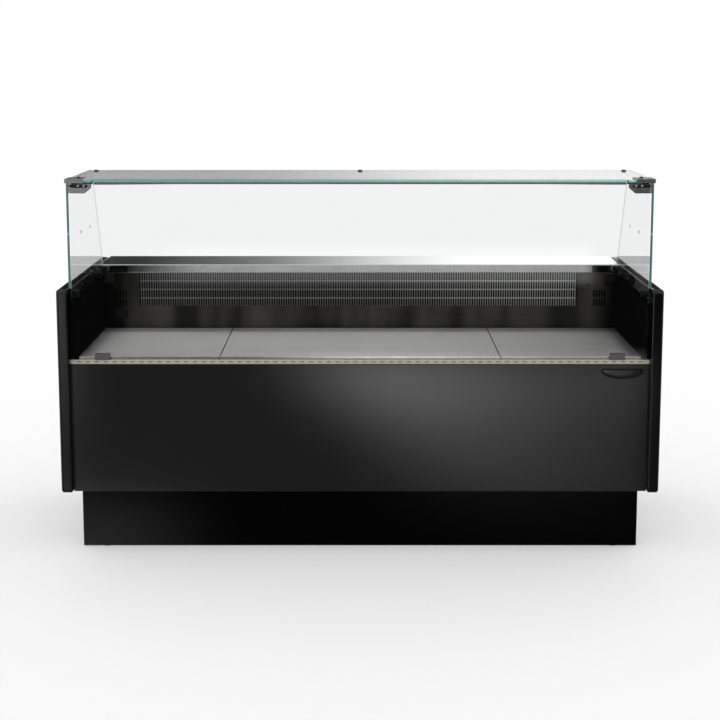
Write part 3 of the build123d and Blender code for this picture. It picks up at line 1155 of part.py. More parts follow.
def sub_parts():
    """Every sub-part's name with its solid or solids, in place."""
    right_end = end_panel()
    right_pane = side_glass()
    parts = {
        "chassis_frame": chassis_frame(),
        "plinth_front": plinth_front(),
        "plinth_returns": plinth_returns(),
        "front_panel": front_panel(),
        "front_strip": front_strip(),
        "end_panel_left": mirrored(right_end),
        "end_panel_right": right_end,
        "side_liners": pair(side_liner()),
        "tank_outer_skin": tank_layer(0, SKIN),
        "tank_insulation": tank_layer(SKIN, SKIN + INSULATION),
        "tank_liner": tank_layer(SKIN + INSULATION, TANK_WALL),
        "rear_grille": rear_grille(),
        "wall_covers": wall_covers(),
        "worktop": worktop(),
        "deck_bearers": deck_bearers(),
        "top_glass": top_glass(),
        "side_glass_left": mirrored(right_pane),
        "side_glass_right": right_pane,
        "front_glass": front_glass(),
        "hinge_arms": hinge_arms(),
        "hinge_brackets": hinge_brackets(),
        "hinge_pins": hinge_pins(),
        "glass_caps": glass_caps(),
        "glass_catches": glass_catches(),
        "clamp_knobs": clamp_knobs(),
        "led_profile": led_profile(),
        "led_diffuser": led_diffuser(),
        "rear_panels": rear_panels(),
        "rear_louvre_panel": rear_louvre_panel(),
        "control_fascia": control_fascia(),
        "controller_body": controller_body(),
        "controller_window": controller_window(),
        "key_up": controller_key(KEY_ZS[0]),
        "key_down": controller_key(KEY_ZS[1]),
        "switch_bodies": group(*[switch_body(x) for x in SWITCH_XS]),
        "light_rocker": rocker(SWITCH_XS[0]),
        "power_rocker": rocker(SWITCH_XS[1]),
        "panel_screws": panel_screws(),
        "cable_gland": cable_gland(),
        "fan_plate": fan_plate(),
        "fan_motors": fan_motors(),
        "evaporator_fan_left": evaporator_fan(-1),
        "evaporator_fan_right": evaporator_fan(1),
        "evaporator_coil": evaporator_coil(),
        "unit_base": unit_base(),
        "compressor": compressor(),
        "condenser_coil": condenser_coil(),
        "condenser_shroud": condenser_shroud(),
        "condenser_fan": condenser_fan(),
        "refrigerant_pipes": refrigerant_pipes(),
        "electrical_box": electrical_box(),
        "condensate_drain": condensate_drain(),
    }
    for index in range(len(TRAY_MODULES)):
        parts[f"deck_tray_{index + 1}"] = deck_tray(index)
    for column, x in zip(("left", "right"), FOOT_XS):
        for row, y in zip(("front", "rear"), FOOT_YS):
            parts[f"foot_{row}_{column}"] = levelling_foot(x, y)
    return parts


os.makedirs("parts", exist_ok=True)
for node, shape in sub_parts().items():
    export_step(shape, f"parts/{node}.step")
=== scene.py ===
import math

import bpy
import numpy as np
from bpy.props import FloatProperty, FloatVectorProperty, IntProperty, PointerProperty
from bpy.types import Operator, Panel, PropertyGroup
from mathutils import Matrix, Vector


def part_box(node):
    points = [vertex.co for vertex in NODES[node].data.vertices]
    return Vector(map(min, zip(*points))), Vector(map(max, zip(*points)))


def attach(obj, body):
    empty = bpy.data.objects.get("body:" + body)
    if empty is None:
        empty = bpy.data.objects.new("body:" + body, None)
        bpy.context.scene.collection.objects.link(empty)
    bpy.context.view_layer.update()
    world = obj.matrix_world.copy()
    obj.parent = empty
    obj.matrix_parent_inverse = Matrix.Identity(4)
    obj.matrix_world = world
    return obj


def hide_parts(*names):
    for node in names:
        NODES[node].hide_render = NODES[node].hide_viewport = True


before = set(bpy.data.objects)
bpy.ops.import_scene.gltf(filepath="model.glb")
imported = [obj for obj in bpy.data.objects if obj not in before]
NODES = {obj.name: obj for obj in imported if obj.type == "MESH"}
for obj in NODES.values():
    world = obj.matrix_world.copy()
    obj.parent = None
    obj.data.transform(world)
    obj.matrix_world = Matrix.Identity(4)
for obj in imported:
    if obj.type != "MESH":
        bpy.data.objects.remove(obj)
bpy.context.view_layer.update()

bl_info = {
    "name": "Serve-over display case",
    "version": (1, 0, 0),
    "blender": (4, 5, 0),
    "location": "View3D > Sidebar > Display case",
    "description": "Finishes, fine pieces and stage of a refrigerated serve-over display case",
    "category": "Object",
}

LOW, HIGH = 0, 1
X, Y, Z = 0, 1, 2
ORIGIN = (0.0, 0.0, 0.0)
MIDDLE_TRAY = "deck_tray_2"
RIGHT_TRAY = "deck_tray_3"

# Small shapes, as shares of their sizes and powers of their curves
CENTRE_RING = 0.04
PLUG_RING = 0.05
RING_SPREAD = 0.6
EDGE_POWER = 6
SCREW_DOME = 0.82
CROSS_WIDTH = 0.13
CROSS_REACH = 0.66
CROSS_DEPTH = 0.55
LOUVRE_ABOVE = 0.7
COVER_POWERS = (3.0, 3.0)
PLATE_POWERS = (8.0, 2.0)
PLATE_SHOULDER = 0.14
GASKET_ENDS = (0.55, 0.9, 1.0)
GASKET_INSETS = (0.0, 0.3, 1.0)
MARK_HOLE = 0.02

# Steps along small curves
GASKET_SPOKES = 16
NOSING_STEPS = 6

# Grain and shade of the finishes, with the shares and spans of painted shade, painted reflection and painted
# glow on some of them
FINE_GRAIN = (4.0, 500.0, 500.0)
COARSE_GRAIN = (1.2, 70.0, 70.0)
GRAIN_DRAW = 0.9
REFLECTION_STREAK_SCALE = (7.0, 0.0, 1.2)
REFLECTION_STREAK_SPAN = (0.35, 0.65)
REFLECTION_STREAK_SHADES = (0.5, 1.8)
DECK_REAR_SHADE = 0.6
DECK_RIGHT_SHADE = 0.68
DUCT_SHADE = 0.8
BARS_SHADE = 0.42
CUT_FACING = 0.7
CUT_ROUGHNESS = 0.12
GLASS_HAZE = 0.012
LAMP_LIGHT = (1.0, 0.99, 0.97)
LAMP_SPAN = (0.88, 0.60)

# Studio light by the direction of a ray: aside is x over |y|, rise is z over |y|, lean is both together
LEAST_AWAY = 0.05
BACK_FADE = (-0.182, 0.107)
BACK_LIT = (0.10, 0.13, 0.62, 1.35)
BACK_UNLIT = (0.10, 0.13, 0.26, 0.01)
BEYOND_ASIDE = (0.187, 0.192)
BEYOND_RISE = (0.11, 0.13)
BEYOND_LIGHT = 0.02
WHITE_TOP = (0.02, 0.06)
GREY_RISE = (0.22, 0.45)
GREY_LIGHT = 0.45
CEILING_RISE = (1.2, 2.5)
CEILING_LIGHT = 0.9
LEAN_START = 0.2241
SKY_RISE = (0.0, 0.25)
SKY_LIGHT = 0.75
FLOOR_SHADE = (0.7, 0.7, 0.7, 1.0)
FLOOR_GLOW = 0.3
WHITE = (1.0, 1.0, 1.0, 1.0)

# Front lights, as products of ramps: a measure, where it starts and ends, and values there if not 0 and 1
FRONT_LIGHTS = {
    "leaning glow for the front panel": [
        ("lean", -0.09, 0.02), ("lean", -0.01, 0.17, 1.0, 0.27), ("aside", 0.2165, 0.209),
        ("rise", -0.375, -0.22), ("rise", -0.21, -0.2265), ("rise", -0.285, -0.235, 1.6, 3.05)],
    "band for the worktop's lip": [
        ("rise", -0.168, -0.158), ("rise", -0.13, -0.142), ("aside", -0.175, -0.11, 0.0, 0.85),
        ("aside", 0.178, 0.165)],
    "upright strip at the left": [
        ("aside", -0.2165, -0.2205), ("aside", -0.32, -0.26), ("rise", -0.34, -0.16, 0.4, 1.6)],
    "low box at the left": [
        ("aside", -0.10, -0.20), ("aside", -0.32, -0.26), ("rise", -0.325, -0.345),
        ("rise", -0.55, -0.42, 0.0, 2.0)],
    "box at the far left": [("aside", -2.5, -5.0), ("rise", -2.0, -1.2, 0.0, 5.0)],
    "soft fill at both sides": [("outwards", 0.35, 0.9, 0.015, 0.2)],
}


# Sizes and colours that a user would change
def length(name, description, default):
    """A property for a size in metres."""
    return FloatProperty(name=name, description=description, default=default, unit="LENGTH")


def count(name, description, default):
    """A property for how many there are."""
    return IntProperty(name=name, description=description, default=default)


def colour(name, description, default):
    """A property for a linear colour."""
    return FloatVectorProperty(
        name=name, description=description, default=default, size=3, min=0.0, max=1.0, subtype="COLOR")


class DuctPanelSizes(PropertyGroup):
    """Slots of the duct panel behind the deck."""
    slot_pitch: length("Slot pitch", "Distance from slot to slot", 0.00903)
    slot_width: length("Slot width", "Width of one slot", 0.0062)
    slot_height: length("Slot height", "Height of one slot", 0.028)
    slot_columns: count("Slots in a row", "Slots side by side in the field", 186)
    slot_rows: count("Rows", "Rows of slots, one above the other", 4)
    row_pitch: length("Row pitch", "Distance from row to row", 0.033)
    field_shift: length("Field shift", "Middle of the slot field along X", -0.007)
    field_drop: length("Field drop", "From the worktop down to the first row", 0.034)
    side_pitch: length("Side pitch", "Slot pitch of the two side groups", 0.0101)
    side_columns: count("Side slots", "Slots side by side in a side group", 5)
    side_rows: count("Side rows", "Rows of a side group, counted from below", 2)
    side_inset: length("Side inset", "From the wall to the middle of a side group", 0.058)
    plug_radius: length("Plug radius", "Radius of the round plugs", 0.0055)
    plug_inset: length("Plug inset", "From the wall to the middle of a plug", 0.102)
    plug_drop: length("Plug drop", "From the worktop down to a plug", 0.0795)


class RearSizes(PropertyGroup):
    """Pressed louvres, screws and key marks of the rear."""
    louvre_rise: length("Louvre rise", "How far a louvre stands out", 0.006)
    louvre_sheet: length("Louvre sheet", "Thickness of the pressed sheet", 0.001)
    louvre_columns: count("Louvre columns", "Louvres side by side", 4)
    louvre_rows: count("Louvre rows", "Louvres one above the other", 9)
    louvre_step: length("Louvre step", "From column to column", 0.150)
    louvre_pitch: length("Louvre pitch", "From row to row", 0.022)
    louvre_middle: length("Louvre middle", "Height of the louvres' middle row", 0.345)
    louvre_length: length("Louvre length", "Length of one louvre", 0.136)
    louvre_height: length("Louvre height", "Height of one louvre", 0.015)
    screw_radius: length("Screw radius", "Radius of a screw head", 0.0055)
    screw_rise: length("Screw rise", "Height of a screw head", 0.0028)
    screw_from_edge: length("Screw from edge", "From a panel's edge to a screw", 0.020)
    mark_size: length("Mark size", "Radius of a mark on a key", 0.0022)
    mark_rise: length("Mark rise", "Thickness of a mark's ink", 0.00015)


class FrontSizes(PropertyGroup):
    """Plain plate on the front panel, and the dark bar of painted shade behind the slots of the strip above
    it.
    """
    plate_width: length("Plate width", "Width of the plate", 0.1415)
    plate_height: length("Plate height", "Height of the plate", 0.0324)
    plate_rise: length("Plate rise", "How far the plate stands out", 0.0012)
    plate_inset: length("Plate inset", "From the panel's right end to the plate's middle", 0.093)
    plate_drop: length("Plate drop", "From the panel's top to the plate's widest line", 0.0235)
    rim_width: length("Rim", "Half the width of the rim", 0.0018)
    strip_wall: length("Strip wall", "Thickness of the strip's sheet and a hair of room", 0.0026)
    # A dark bar of painted shade behind the strip's slots
    strip_shade_bar: length("Strip shade bar", "Thickness of the smoked lens behind the strip's slots", 0.0015)


class FittingSizes(PropertyGroup):
    """Details of the hinges, the top glass and the light bar."""
    lit_lip: length("Lit lip", "Height of the light bar's lit lower lip", 0.0020)
    hinge_screw: length("Hinge screw", "Radius of a hinge screw", 0.0045)
    first_screw: length("First screw", "From a hinge's outer end to its first screw", 0.029)
    screw_step: length("Screw step", "From the first screw to the second", 0.020)
    cover_width: length("Cover width", "Width of a hinge's black cover", 0.062)
    cover_height: length("Cover height", "Height of a hinge's black cover", 0.0130)
    cover_rise: length("Cover rise", "How far a hinge's cover stands out", 0.0012)
    stop_radius: length("Stop radius", "Radius of the dark stops in the top glass's edge", 0.0032)
    gasket_width: length("Gasket width", "Thickness of the gasket behind a hinge", 0.0026)
    gasket_height: length("Gasket height", "Height of the gasket behind a hinge", 0.0082)
    gasket_length: length("Gasket length", "Length of the gasket behind a hinge", 0.0768)
    gasket_gap: length("Gasket gap", "From the front glass back to the gasket", 0.0083)


class DeckSizes(PropertyGroup):
    """Seams, front edges, and the painted shade along the rear edge and right side of the deck trays."""
    nosing_depth: length("Nosing depth", "Thickness of the bright edge along a tray's front", 0.001)
    nosing_height: length("Nosing height", "Height of the bright edge along a tray's front", 0.0072)
    painted_shade_depth: length("Painted shade depth", "Width of the band of painted shade along the deck's rear edge", 0.10)
    painted_shade_start: length("Painted shade start", "Where along X the deck's painted shade starts, darkening to the right", 0.15)
    seam: length("Seam", "Width of the seal along a seam", 0.0024)
    seal_rise: length("Seal rise", "Height of a seal above the deck", 0.0004)


class FinishColours(PropertyGroup):
    """Base colours of the finishes, as linear values."""
    black: colour("Black moulding", "End panels and black fittings", (0.0025, 0.0025, 0.0026))
    lining: colour("Black lining", "Inner side walls", (0.0035, 0.0035, 0.0036))
    plinth: colour("Plinth black", "Powder coat of the plinth", (0.0008, 0.0008, 0.0008))
    charcoal: colour("Charcoal", "Powder coat of the front panel", (0.011, 0.011, 0.0115))
    strip: colour("Strip", "Anodised strip under the front glass", (0.43, 0.375, 0.31))
    plate: colour("Plate", "Plain plate on the front panel", (0.014, 0.014, 0.0145))
    rim: colour("Plate rim", "Rim of the plain plate", (0.0012, 0.0012, 0.0012))
    worktop: colour("Worktop steel", "Polished worktop", (0.78, 0.78, 0.79))
    deck: colour("Deck steel", "Brushed deck trays", (0.74, 0.733, 0.725))
    nosing: colour("Tray nosing", "Bright front edges of the trays", (0.70, 0.70, 0.69))
    # Painted shade: the steel under the deck and behind the duct panel is made nearly black, in place of the
    # unlit inside of the tank
    tank: colour("Tank steel in painted shade", "Steel under the deck and behind the duct panel", (0.005, 0.005, 0.005))
    # The duct panel is one sheet in two tones: its plain part dark as painted shade, the bars between its
    # slots light as painted light
    duct: colour("Duct steel in painted shade", "Brushed duct panel", (0.090, 0.085, 0.081))
    bars: colour("Duct bars in painted light", "Bars between the duct panel's slots", (0.68, 0.675, 0.67))
    glass: colour("Glass", "Clear panes", (0.95, 0.962, 0.957))
    glass_edge: colour("Glass edge", "Cut edges of the panes", (0.06, 0.14, 0.125))
    hinge: colour("Hinge metal", "Hinges of the front glass", (0.46, 0.46, 0.47))
    hinge_screw: colour("Hinge screws", "Screws of the hinges", (0.62, 0.62, 0.63))
    catch: colour("Catch plastic", "Catches of the front glass", (0.075, 0.075, 0.076))
    opal: colour("Opal", "Diffuser of the light bar", (0.86, 0.88, 0.88))
    light_bar: colour("Light bar", "Profile of the light bar", (0.15, 0.135, 0.12))
    sheet: colour("Rear steel", "Brushed rear panels and fascia", (0.56, 0.56, 0.57))
    screw: colour("Screw plating", "Screws of the rear panels", (0.58, 0.58, 0.59))
    window: colour("Window", "Window of the controller", (0.02, 0.004, 0.004))
    key: colour("Key rubber", "Keys of the controller", (0.19, 0.19, 0.195))
    ink: colour("White ink", "Marks on the keys", (0.78, 0.78, 0.76))
    rocker: colour("Rocker plastic", "Rockers of the switches", (0.012, 0.012, 0.012))
    foot: colour("Foot steel", "Levelling feet", (0.48, 0.48, 0.49))
    zinc: colour("Zinc", "Galvanised chassis and skins", (0.50, 0.52, 0.54))
    foam: colour("Foam", "Insulating foam", (0.62, 0.50, 0.26))
    fins: colour("Fins", "Fins of the coils", (0.66, 0.67, 0.69))
    motor: colour("Motor paint", "Motors and compressor", (0.012, 0.012, 0.013))
    copper: colour("Copper", "Refrigerant pipes", (0.72, 0.32, 0.18))
    grey: colour("Grey plastic", "Electrical box and drain", (0.26, 0.27, 0.28))


class StageSizes(PropertyGroup):
    """Camera and floor."""
    lens: FloatProperty(name="Lens", description="Focal length on a 36 mm sensor, in mm", default=68.534)
    shift: FloatProperty(name="Lens shift", description="Upward shift of the lens", default=-0.16)
    tilt: FloatProperty(
        name="Tilt", description="Downward tilt of the camera", default=math.radians(7.665), unit="ROTATION")
    distance: length("Distance", "From the origin to the camera", 5.0066)
    height: length("Height", "Height of the lens above the floor", 1.7221)
    clip: length("Clip end", "How far the camera sees", 200.0)
    floor: length("Floor size", "Side of the square floor", 60.0)


# Places in the frame
def edge(node, end, axis):
    """One face of a node's box: its lower or upper end along an axis."""
    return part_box(node)[end][axis]


def middle(node, axis):
    """The middle of a node's box along an axis."""
    low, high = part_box(node)
    return (low[axis] + high[axis]) / 2


def mirrored(*spots):
    """Places on both sides of the middle plane, from those on the right side."""
    right = np.array(spots)
    return np.concatenate([right * (-1.0, 1.0, 1.0), right])


def spaced(number, pitch):
    """Evenly spaced places about zero."""
    return (np.arange(number) - (number - 1) / 2) * pitch


# Meshes from arrays
def mesh_piece(name, shape, places, body, material, smooth=False):
    """A new piece that rides on a body: copies of a shape, its points and four-cornered faces, at places."""
    points, quads = repeated(*shape, np.array(places))
    mesh = bpy.data.meshes.new(name)
    mesh.from_pydata(points.tolist(), [], quads.tolist())
    mesh.polygons.foreach_set("use_smooth", np.full(len(quads), smooth))
    mesh.update()
    piece = bpy.data.objects.new(name, mesh)
    bpy.context.scene.collection.objects.link(piece)
    piece.data.materials.append(material)
    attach(piece, body)
    return piece


def grid_quads(rows, columns, wrap=False, close=False):
    """Faces of a grid of points. Wrap joins its last column to the first, and close its last row."""
    last_row = rows if close else rows - 1
    last_column = columns if wrap else columns - 1
    row, column = np.meshgrid(np.arange(last_row), np.arange(last_column), indexing="ij")
    above, after = (row + 1) % rows, (column + 1) % columns
    near, far = row * columns, above * columns
    return np.stack([near + column, near + after, far + after, far + column], axis=-1).reshape(-1, 4)


def closed_quads(rings, spokes):
    """Faces of a shape made of rings, its first and last ring closed by strips of faces across the ring."""
    step = np.arange(spokes // 2 - 1)
    first = np.column_stack([step, spokes - 1 - step, spokes - 2 - step, step + 1])
    last = first[:, ::-1] + (rings - 1) * spokes
    return np.concatenate([grid_quads(rings, spokes, wrap=True), first, last])


def repeated(points, quads, places):
    """Copies of one shape at each of several places, as one array of points and one of faces."""
    all_points = (places[:, None, :] + points[None, :, :]).reshape(-1, 3)
    all_quads = (np.arange(len(places))[:, None, None] * len(points) + quads[None, :, :]).reshape(-1, 4)
    return all_points, all_quads


def perforated_sheet(x_lines, z_lines, hole, front, back):
    """Points and faces of a sheet between two depths. Its cells lie between the x and z lines, and each
    cell marked as a hole is left open. A wall closes every border between a solid cell and an open one."""
    columns, rows = len(x_lines), len(z_lines)
    x_all, z_all = np.meshgrid(x_lines, z_lines, indexing="ij")
    layer = columns * rows
    sides = [np.stack([x_all, np.full_like(x_all, depth), z_all], axis=-1) for depth in (front, back)]
    points = np.concatenate([side.reshape(-1, 3) for side in sides])
    index = np.arange(layer).reshape(columns, rows)
    solid = ~hole
    cells = [index[:-1, :-1][solid], index[1:, :-1][solid], index[1:, 1:][solid], index[:-1, 1:][solid]]
    faces = [np.stack(cells, axis=-1), np.stack(cells[::-1], axis=-1) + layer]
    padded = np.pad(solid, 1)
    for lines, inside, way in ((index, padded[:, 1:-1], 1), (index.T, padded[1:-1].T, -1)):
        before, after = inside[:-1], inside[1:]
        for border, turn in ((before & ~after, way), (after & ~before, -way)):
            low, high = lines[:, :-1][border], lines[:, 1:][border]
            wall = [low, high, high + layer, low + layer]
            faces.append(np.stack(wall[::turn], axis=-1))
    return points, np.concatenate(faces)


def slot_lines(centres, width):
    """Both edges of each slot along one axis, in order."""
    return np.sort(np.concatenate([centres - width / 2, centres + width / 2]))


def inside_any(values, centres, width):
    """Which values lie within half a width of one of the centres."""
    return (np.abs(values[:, None] - centres[None, :]) < width / 2).any(axis=1)


def around(spokes):
    """Angles of the spokes of a full circle."""
    return np.linspace(0, 2 * np.pi, spokes, endpoint=False)


def polar(first, rings, spokes):
    """Radius and angle of the points of rings about a middle, the outermost of radius 1."""
    return np.meshgrid(np.linspace(first, 1.0, rings), around(spokes), indexing="ij")


def screw_head(radius, rise, rings=9, spokes=32):
    """A domed head about the Y axis with a cross recess: its height over polar rings is a flat dome,
    less a recess where the point lies within either arm of the cross. It stands along +Y."""
    ring, spoke = polar(CENTRE_RING, rings, spokes)
    across, up = ring * np.cos(spoke), ring * np.sin(spoke)
    height = np.sqrt(np.clip(1 - SCREW_DOME * ring ** 2, 0, 1))
    arms = (np.minimum(np.abs(across), np.abs(up)) < CROSS_WIDTH) & (ring < CROSS_REACH)
    height = np.where(arms, height - CROSS_DEPTH, height)
    height[-1] = 0.0
    points = np.stack([across * radius, height * rise, up * radius], axis=-1).reshape(-1, 3)
    return points, closed_quads(rings, spokes)[:, ::-1]


def round_plug(radius, rise, rings=6, spokes=24):
    """A shallow dome about the Y axis that stands towards -Y: rise times the square root of 1 - r^2."""
    ring, spoke = polar(PLUG_RING, rings, spokes)
    height = -rise * np.sqrt(np.clip(1 - ring ** 2, 0, 1))
    points = np.stack([ring * np.cos(spoke) * radius, height, ring * np.sin(spoke) * radius], axis=-1)
    return points.reshape(-1, 3), closed_quads(rings, spokes)


def louvre_hood(sizes, columns=25, rows=7):
    """A pressed louvre that is open below: it stands out by its rise times the sine of a quarter turn down
    its height, and dies away to both ends by 1 - |u|^6, u running from -1 to 1 along its length."""
    u, v = np.meshgrid(np.linspace(-1, 1, columns), np.linspace(0, 1, rows), indexing="ij")
    out = sizes.louvre_rise * np.sin(v * np.pi / 2) * (1 - np.abs(u) ** EDGE_POWER)
    points = np.stack([u * sizes.louvre_length / 2, out, (LOUVRE_ABOVE - v) * sizes.louvre_height], axis=-1)
    return points.reshape(-1, 3), grid_quads(columns, rows)[:, ::-1]


def bar_along_x(profile, along, shrink=(1.0, 1.0)):
    """A bar whose closed profile, given in Y and Z, is carried along X through several places, and is drawn
    in towards its middle by a share at each. Its ends are closed."""
    rings = np.multiply.outer(np.asarray(shrink), profile)
    starts = np.broadcast_to(np.asarray(along)[:, None, None], (len(along), len(profile), 1))
    points = np.concatenate([starts, rings], axis=-1).reshape(-1, 3)
    return points, closed_quads(len(along), len(profile))


def rounded_outline(width, above, below, powers, spokes=48):
    """Points of an outline in X and Z about its widest line: sizes times the signed powers of cosine and
    sine. Each half has its own height and power, and a high power makes a half nearly square."""
    cosine, sine = np.cos(around(spokes)), np.sin(around(spokes))
    exponent = 2 / np.where(sine > 0, *powers)
    height = np.where(sine > 0, above, below)
    return np.column_stack([
        np.sign(cosine) * np.abs(cosine) ** exponent * width / 2,
        np.sign(sine) * np.abs(sine) ** exponent * height])


def pillow(outline, rise, rings=8):
    """A rounded plate that stands towards -Y: an outline scaled ring by ring, its height rise times
    (1 - r^6), so that it is flat but for its edge."""
    reach = np.linspace(CENTRE_RING, 1.0, rings) ** RING_SPREAD
    flat = reach[:, None, None] * outline[None]
    depth = np.broadcast_to(-rise * (1 - reach ** EDGE_POWER)[:, None], flat.shape[:2])
    points = np.stack([flat[..., 0], depth, flat[..., 1]], axis=-1).reshape(-1, 3)
    return points, closed_quads(rings, len(outline))


def rim_about(outline, base, band, steps=7):
    """A half-round rim about a rounded plate: its outline moved outwards and up along a half circle of
    radius band, from a base. Outwards is square to the line from the point before to the point after."""
    along = np.roll(outline, -1, axis=0) - np.roll(outline, 1, axis=0)
    outwards = np.column_stack([along[:, 1], -along[:, 0]]) / np.linalg.norm(along, axis=1)[:, None]
    rings = []
    for turn in np.linspace(0, np.pi, steps):
        moved = outline - outwards * np.cos(turn) * band
        depth = np.full(len(outline), -np.sin(turn) * band - base)
        rings.append(np.column_stack([moved[:, 0], depth, moved[:, 1]]))
    return np.concatenate(rings), grid_quads(steps, len(outline), wrap=True, close=True)


def flat_mark(outer, inner, rise, spokes):
    """A flat ring about the Y axis that stands towards +Y: a square section, inner to outer and 0 to rise,
    turned through a full circle. Few spokes make it a polygon, and a small inner radius fills it."""
    angle = around(spokes) + np.pi / 2
    section = np.array([[inner, 0.0], [inner, rise], [outer, rise], [outer, 0.0]])
    across = np.multiply.outer(section[:, 0], np.cos(angle))
    up = np.multiply.outer(section[:, 0], np.sin(angle))
    out = np.broadcast_to(section[:, 1:], across.shape)
    points = np.stack([across, out, up], axis=-1).reshape(-1, 3)
    return points, grid_quads(len(section), spokes, wrap=True, close=True)


# Node trees
def place(tree, kind, settings=None, inputs=None):
    """Adds a node, sets its properties, and gives each named or numbered input a value or a link."""
    node = tree.nodes.new(kind)
    for key, value in (settings or {}).items():
        setattr(node, key, value)
    for key, value in (inputs or {}).items():
        if isinstance(value, bpy.types.NodeSocket):
            tree.links.new(value, node.inputs[key])
        else:
            node.inputs[key].default_value = value
    return node


def maths(tree, operation, *values):
    """One step of arithmetic."""
    return place(tree, "ShaderNodeMath", {"operation": operation}, dict(enumerate(values))).outputs[0]


def chained(tree, operation, first, *others):
    """Carries an operation through several values."""
    for value in others:
        first = maths(tree, operation, first, value)
    return first


def eased(tree, value, low, high, start=0.0, end=1.0):
    """A value that eases from start to end while another goes from low to high."""
    node = place(tree, "ShaderNodeMapRange", {"interpolation_type": "SMOOTHSTEP"},
                 {0: value, 1: low, 2: high, 3: start, 4: end})
    return node.outputs[0]


def between(tree, factor, start, end):
    """A value between two others."""
    return place(tree, "ShaderNodeMix", None, {0: factor, 2: start, 3: end}).outputs[0]


def mixed(tree, factor, first, second):
    """A colour between two others."""
    colours = {0: factor, 6: [*first, 1.0], 7: [*second, 1.0]}
    return place(tree, "ShaderNodeMix", {"data_type": "RGBA"}, colours).outputs[2]


def where(tree):
    """Object coordinates."""
    return place(tree, "ShaderNodeTexCoord").outputs["Object"]


def coordinate(tree, axis):
    """The object coordinate along an axis."""
    return place(tree, "ShaderNodeSeparateXYZ", None, {0: where(tree)}).outputs[axis]


def stretched(tree, scale):
    """Object coordinates times a scale along each axis."""
    node = place(tree, "ShaderNodeVectorMath", {"operation": "MULTIPLY"}, {0: where(tree), 1: scale})
    return node.outputs[0]


def noise(tree, vector, scale, detail, distortion=0.0):
    """Smooth noise from 0 to 1."""
    inputs = {"Vector": vector, "Scale": scale, "Detail": detail, "Distortion": distortion}
    return place(tree, "ShaderNodeTexNoise", None, inputs).outputs[0]


def new_group(name, inputs, outputs):
    """An empty node group with float or vector inputs and float outputs."""
    tree = bpy.data.node_groups.new(name, "ShaderNodeTree")
    for label, kind, default in inputs:
        socket = tree.interface.new_socket(label, in_out="INPUT", socket_type=kind)
        socket.default_value = default
    for label in outputs:
        tree.interface.new_socket(label, in_out="OUTPUT", socket_type="NodeSocketFloat")
    return tree, tree.nodes.new("NodeGroupInput").outputs, tree.nodes.new("NodeGroupOutput").inputs


def grain_group():
    """Brushed grain: noise drawn out along the brushing, in a fine and a coarse band, and wiping marks."""
    kind = "NodeSocketVector"
    scales = [("Fine scale", kind, FINE_GRAIN), ("Coarse scale", kind, COARSE_GRAIN)]
    tree, start, end = new_group("Brushed grain", scales, ["Fine", "Coarse", "Wiping"])
    for label, detail in (("Fine", 2.0), ("Coarse", 3.0)):
        drawn = stretched(tree, start[label + " scale"])
        tree.links.new(noise(tree, drawn, scale=1.0, detail=detail), end[label])
    wiping = noise(tree, where(tree), scale=4.5, detail=4.0, distortion=0.6)
    tree.links.new(wiping, end["Wiping"])
    return tree


def coat_group():
    """Powder coat or moulded texture: a fine orange peel, and a slow drift of its shade."""
    scales = [("Peel scale", "NodeSocketFloat", 700.0), ("Drift scale", "NodeSocketFloat", 3.0)]
    tree, start, end = new_group("Coat texture", scales, ["Peel", "Drift"])
    for label, detail in (("Peel", 2.0), ("Drift", 3.0)):
        tree.links.new(noise(tree, where(tree), start[label + " scale"], detail), end[label])
    return tree


GROUPS = {}


def shared(tree, name, build, values):
    """Places a shared node group in a tree, making it the first time."""
    if name not in GROUPS:
        GROUPS[name] = build()
    node = tree.nodes.new("ShaderNodeGroup")
    node.node_tree = GROUPS[name]
    for key, value in values.items():
        node.inputs[key].default_value = value
    return node.outputs


def blank(name, values):
    """A material with only its Principled shader and output, some of the shader's inputs being set."""
    material = bpy.data.materials.new(name)
    material.use_nodes = True
    shader = material.node_tree.nodes["Principled BSDF"]
    for key, value in values.items():
        shader.inputs[key].default_value = value
    return material, material.node_tree, shader


def tint(tree, shader, value, base, dark, light, socket="Base Color"):
    """Gives a shader a base colour times a shade that goes from dark to light with a value."""
    low = [channel * dark for channel in base]
    high = [min(1.0, channel * light) for channel in base]
    tree.links.new(mixed(tree, value, low, high), shader.inputs[socket])


def gloss(tree, shader, value, start, end):
    """Gives a shader a roughness that goes from start to end with a value."""
    spread = place(tree, "ShaderNodeMapRange", None, {0: value, 3: start, 4: end})
    tree.links.new(spread.outputs[0], shader.inputs["Roughness"])


def relief(tree, shader, height, depth):
    """Gives a shader a bump of some depth."""
    bump = place(tree, "ShaderNodeBump", None, {"Height": height, "Distance": depth})
    tree.links.new(bump.outputs[0], shader.inputs["Normal"])


# Finishes
def brushed_steel(name, base, roughness, groove, contrast=0.10):
    """Brushed sheet: highlights are drawn out across the grooves, and coarse streaks and wiping marks
    change its shade and gloss. The grooves run along X."""
    material, tree, shader = blank(name, {"Metallic": 1.0, "Anisotropic": GRAIN_DRAW})
    across = place(tree, "ShaderNodeCombineXYZ", None, {"Y": 1.0, "Z": 1.0})
    tree.links.new(across.outputs[0], shader.inputs["Tangent"])
    scales = {"Fine scale": FINE_GRAIN, "Coarse scale": COARSE_GRAIN}
    grain = shared(tree, "Brushed grain", grain_group, scales)
    tint(tree, shader, grain["Coarse"], base, dark=1 - contrast, light=1 + contrast)
    gloss(tree, shader, grain["Wiping"], start=roughness * 0.8, end=roughness * 1.25)
    relief(tree, shader, grain["Fine"], groove)
    return material


